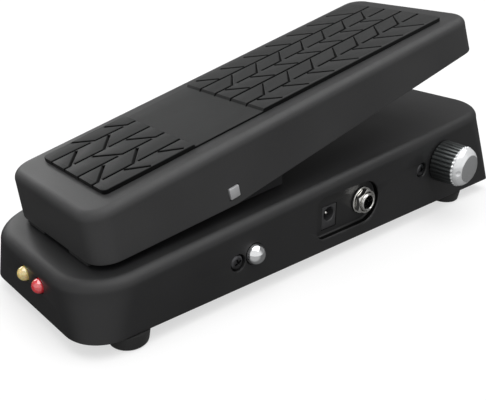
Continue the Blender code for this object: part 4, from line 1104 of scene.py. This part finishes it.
# The knob's rings in millimetres: how far each lies back from the face and in from the grip
# or the full radius, and for the grip its flutes
KNOB_GRIP = (
    (4.75, 0, 0.32, 3), (4.5, 0, 0.6, 1), (4.2, 0, 0.65, 1), (3.95, 0.12, 0.6, 1),
    (3.75, 0.4, 0.3, 1), (3.65, 0.7, 0, 1), (3.5, 0.7, 0, 1), (3.4, 0.42, 0, 1),
)
KNOB_SHOULDER = (
    (2.9, 1.0), (2.2, 1.36), (1.6, 1.82), (1.0, 2.5), (0.3, 3.55), (0.08, 3.85), (0, 4.1),
)


def fluted_ring(height, radius, depth, narrow=3):
    """A ring of the knob's grip, with flutes of a depth that narrow by a power."""
    ring = []
    flutes, points = 30, 240
    for step in range(points):
        turn = 2 * math.pi * step / points
        wave = (1 - math.cos(flutes * turn)) / 2
        reach = radius - depth * wave ** narrow
        ring.append((reach * math.cos(turn), reach * math.sin(turn), height))
    return ring


def knob_finish(shoulder, face):
    """Dark in the fluted grip, a painted highlight on the shoulder, where the chrome is made partly diffuse white,
    and plain on the face.
    """
    graph = plated("knob_plate", *RECIPES["chrome"][1:])
    bright = graph.ramp(graph.distance_from(shoulder, RIGHT), -0.35 * MM, -0.1 * MM)
    tone = graph.source("Base Color")
    graph.set("Base Color", graph.mix(bright, (0.15, 0.16, 0.16), tone))
    graph.set("Roughness", graph.ramp(bright, 0, 1, 0.32, 0.15))
    flat = graph.ramp(graph.distance_from(face, RIGHT), -0.3 * MM, -0.1 * MM)
    # Painted highlight: the shoulder loses most of its metallic, so its chrome colour shows as diffuse white
    painted_highlight_share = graph.maths("MULTIPLY", bright, graph.ramp(flat, 0, 1, 0.65, 0.1))
    graph.set("Metallic", graph.maths("SUBTRACT", 1.0, painted_highlight_share))
    return graph.material


def build_knob():
    """A knob with a dark fluted grip and a domed chrome front, with a painted highlight on its shoulder and a
    pointer dimple.
    """
    low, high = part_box("control_knob")
    radius = (high.z - low.z) / 2
    length = high.x - low.x
    place = Vector((low.x, (low.y + high.y) / 2, (low.z + high.z) / 2))
    front = radius - 0.4 * MM
    rings = [fluted_ring(0, radius - 0.5 * MM, 0)]
    rings.append(fluted_ring(0.15 * MM, radius - 0.25 * MM, 0.2 * MM))
    rings.append(fluted_ring(0.5 * MM, radius, 0.32 * MM))
    for back, drop, depth, narrow in KNOB_GRIP:
        rings.append(fluted_ring(length - back * MM, front - drop * MM, depth * MM, narrow))
    for back, drop in KNOB_SHOULDER:
        rings.append(fluted_ring(length - back * MM, radius - drop * MM, 0))
    knob = loft("fluted_knob", rings)
    knob.transform(axis_frame(place, RIGHT))
    hollow = lathe("knob_hollow", [(0, 2.9), (7.6, 2.9), (7.6, -1), (0, -1)], place, RIGHT, 48)
    shaft_hole = lathe("knob_bore", [(0, 9), (3.3, 9), (3.3, 2), (0, 2)], place, RIGHT, 32)
    knob = carved(knob, [hollow, shaft_hole, pointer_dimple(place, length)])
    shown = piece(knob, "chrome", "knob", "control_knob", crease=28)
    face = place + RIGHT * length
    shown.data.materials[0] = knob_finish(place + RIGHT * (length - 4.25 * MM), face)


def pointer_dimple(place, length):
    """A ball that dents the rounded shoulder of the knob, on the heel side."""
    heading = Vector((0.8, -0.597, -0.063))
    surface = place + Vector((length - 1.25 * MM, -8.1 * MM, -0.85 * MM))
    bm = bmesh.new()
    ball = Matrix.Translation(surface + heading * 1.85 * MM)
    bmesh.ops.create_uvsphere(bm, u_segments=48, v_segments=24, radius=2.35 * MM, matrix=ball)
    return finished_mesh("dimple", bm)


def build_button():
    """The plated half-ball, drawn down to a skirt behind its hole."""
    place = centre("button_cap")
    place.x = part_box("button_cap")[1].x - BUTTON_RADIUS * MM
    profile = arc(0, 0, BUTTON_RADIUS, 90, 0, 20)
    profile += [(BUTTON_RADIUS, -3.3), (5.2, -3.3), (5.2, -4.5), (2, -4.5), (2, -9.6), (0, -9.6)]
    piece(lathe("dome_button", profile, place, RIGHT, 64), "chrome", "button", "button_cap")


def build_lamps():
    for node, slot in (("led_amber", "amber_lens"), ("led_red", "red_lens")):
        place = centre(node)
        place.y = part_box(node)[0].y + LAMP_RADIUS * MM
        profile = arc(0, 0, LAMP_RADIUS, 90, 0, 14) + [(LAMP_RADIUS, -3.3), (3.5, -3.3)]
        profile += [(3.5, -4.3), (LAMP_RADIUS, -4.3), (LAMP_RADIUS, -7.7), (0, -7.7)]
        piece(lathe(f"lens_{node}", profile, place, TO_HEEL, 48), slot, "base", node)


# ---- stage

def add_camera():
    data = bpy.data.cameras.new("product_view")
    data.lens = CAMERA_LENS
    data.sensor_width = 36
    data.clip_start = 0.01
    camera = new_object("product_view", data)
    camera.location = ORIGIN + CAMERA_PLACE
    camera.rotation_euler = (math.radians(90 - CAMERA_PITCH), 0, math.radians(CAMERA_YAW))
    bpy.context.scene.camera = camera


def add_floor():
    bm = bmesh.new()
    bmesh.ops.create_grid(bm, x_segments=1, y_segments=1, size=6)
    mesh = finished_mesh("studio_floor", bm)
    mesh.materials.append(studio_floor_material("studio_board"))
    floor = new_object("studio_floor", mesh)
    floor.visible_glossy = False


def add_softbox(name, direction, width, radiance):
    """A square soft panel in a direction from the pedal, facing it, of an even radiance."""
    data = bpy.data.lights.new(name, "AREA")
    data.shape = "RECTANGLE"
    data.size = data.size_y = width
    data.energy = radiance * math.pi * width * width
    box = new_object(name, data)
    way = Vector(direction).normalized()
    box.location = way * SOFTBOX_DISTANCE
    box.rotation_euler = way.to_track_quat("Z", "Y").to_euler()
    box.visible_camera = False


def add_world():
    """A room that is white to the eye, bright before the pedal and dim behind it."""
    world = bpy.data.worlds.new("studio_room")
    room = Nodes(world, "Background", "Generated")
    upper = room.ramp(room.along((0.77, -0.64, 0)), -0.1, 0.6, ROOM_BACK, ROOM_FRONT)
    side = room.ramp(room.along(RIGHT), -0.6, 0.4, FLOOR_LEFT, FLOOR_RIGHT)
    lower = room.ramp(room.along((0.7, -0.7, 0)), 0.3, 0.8, side, FLOOR_FRONT)
    whole = room.ramp(room.along(UP), -0.05, 0.03, lower, upper)
    room.set("Strength", room.ramp(room.eye(), 0, 1, whole, 1.0))
    room.set("Color", (1, 1, 1, 1))
    bpy.context.scene.world = world


def build_stage():
    add_camera()
    add_floor()
    add_world()
    add_softbox("top_softbox", (0.1, 0.1, 1), 1.8, 2.4)
    add_softbox("left_softbox", (-0.88, -0.05, 0.47), 0.8, 2.2)
    bpy.context.scene.view_settings.view_transform = "Standard"


# ---- the pedal

dress_cad_nodes()
build_stage()
build_housing()
build_treadle()
build_shaft()
build_mat()
build_spring()
build_feet()
build_side_screws()
build_jack("input", "input_jack", RIGHT)
build_jack("output", "output_jack", LEFT)
build_power_socket()
build_knob()
build_button()
build_lamps()
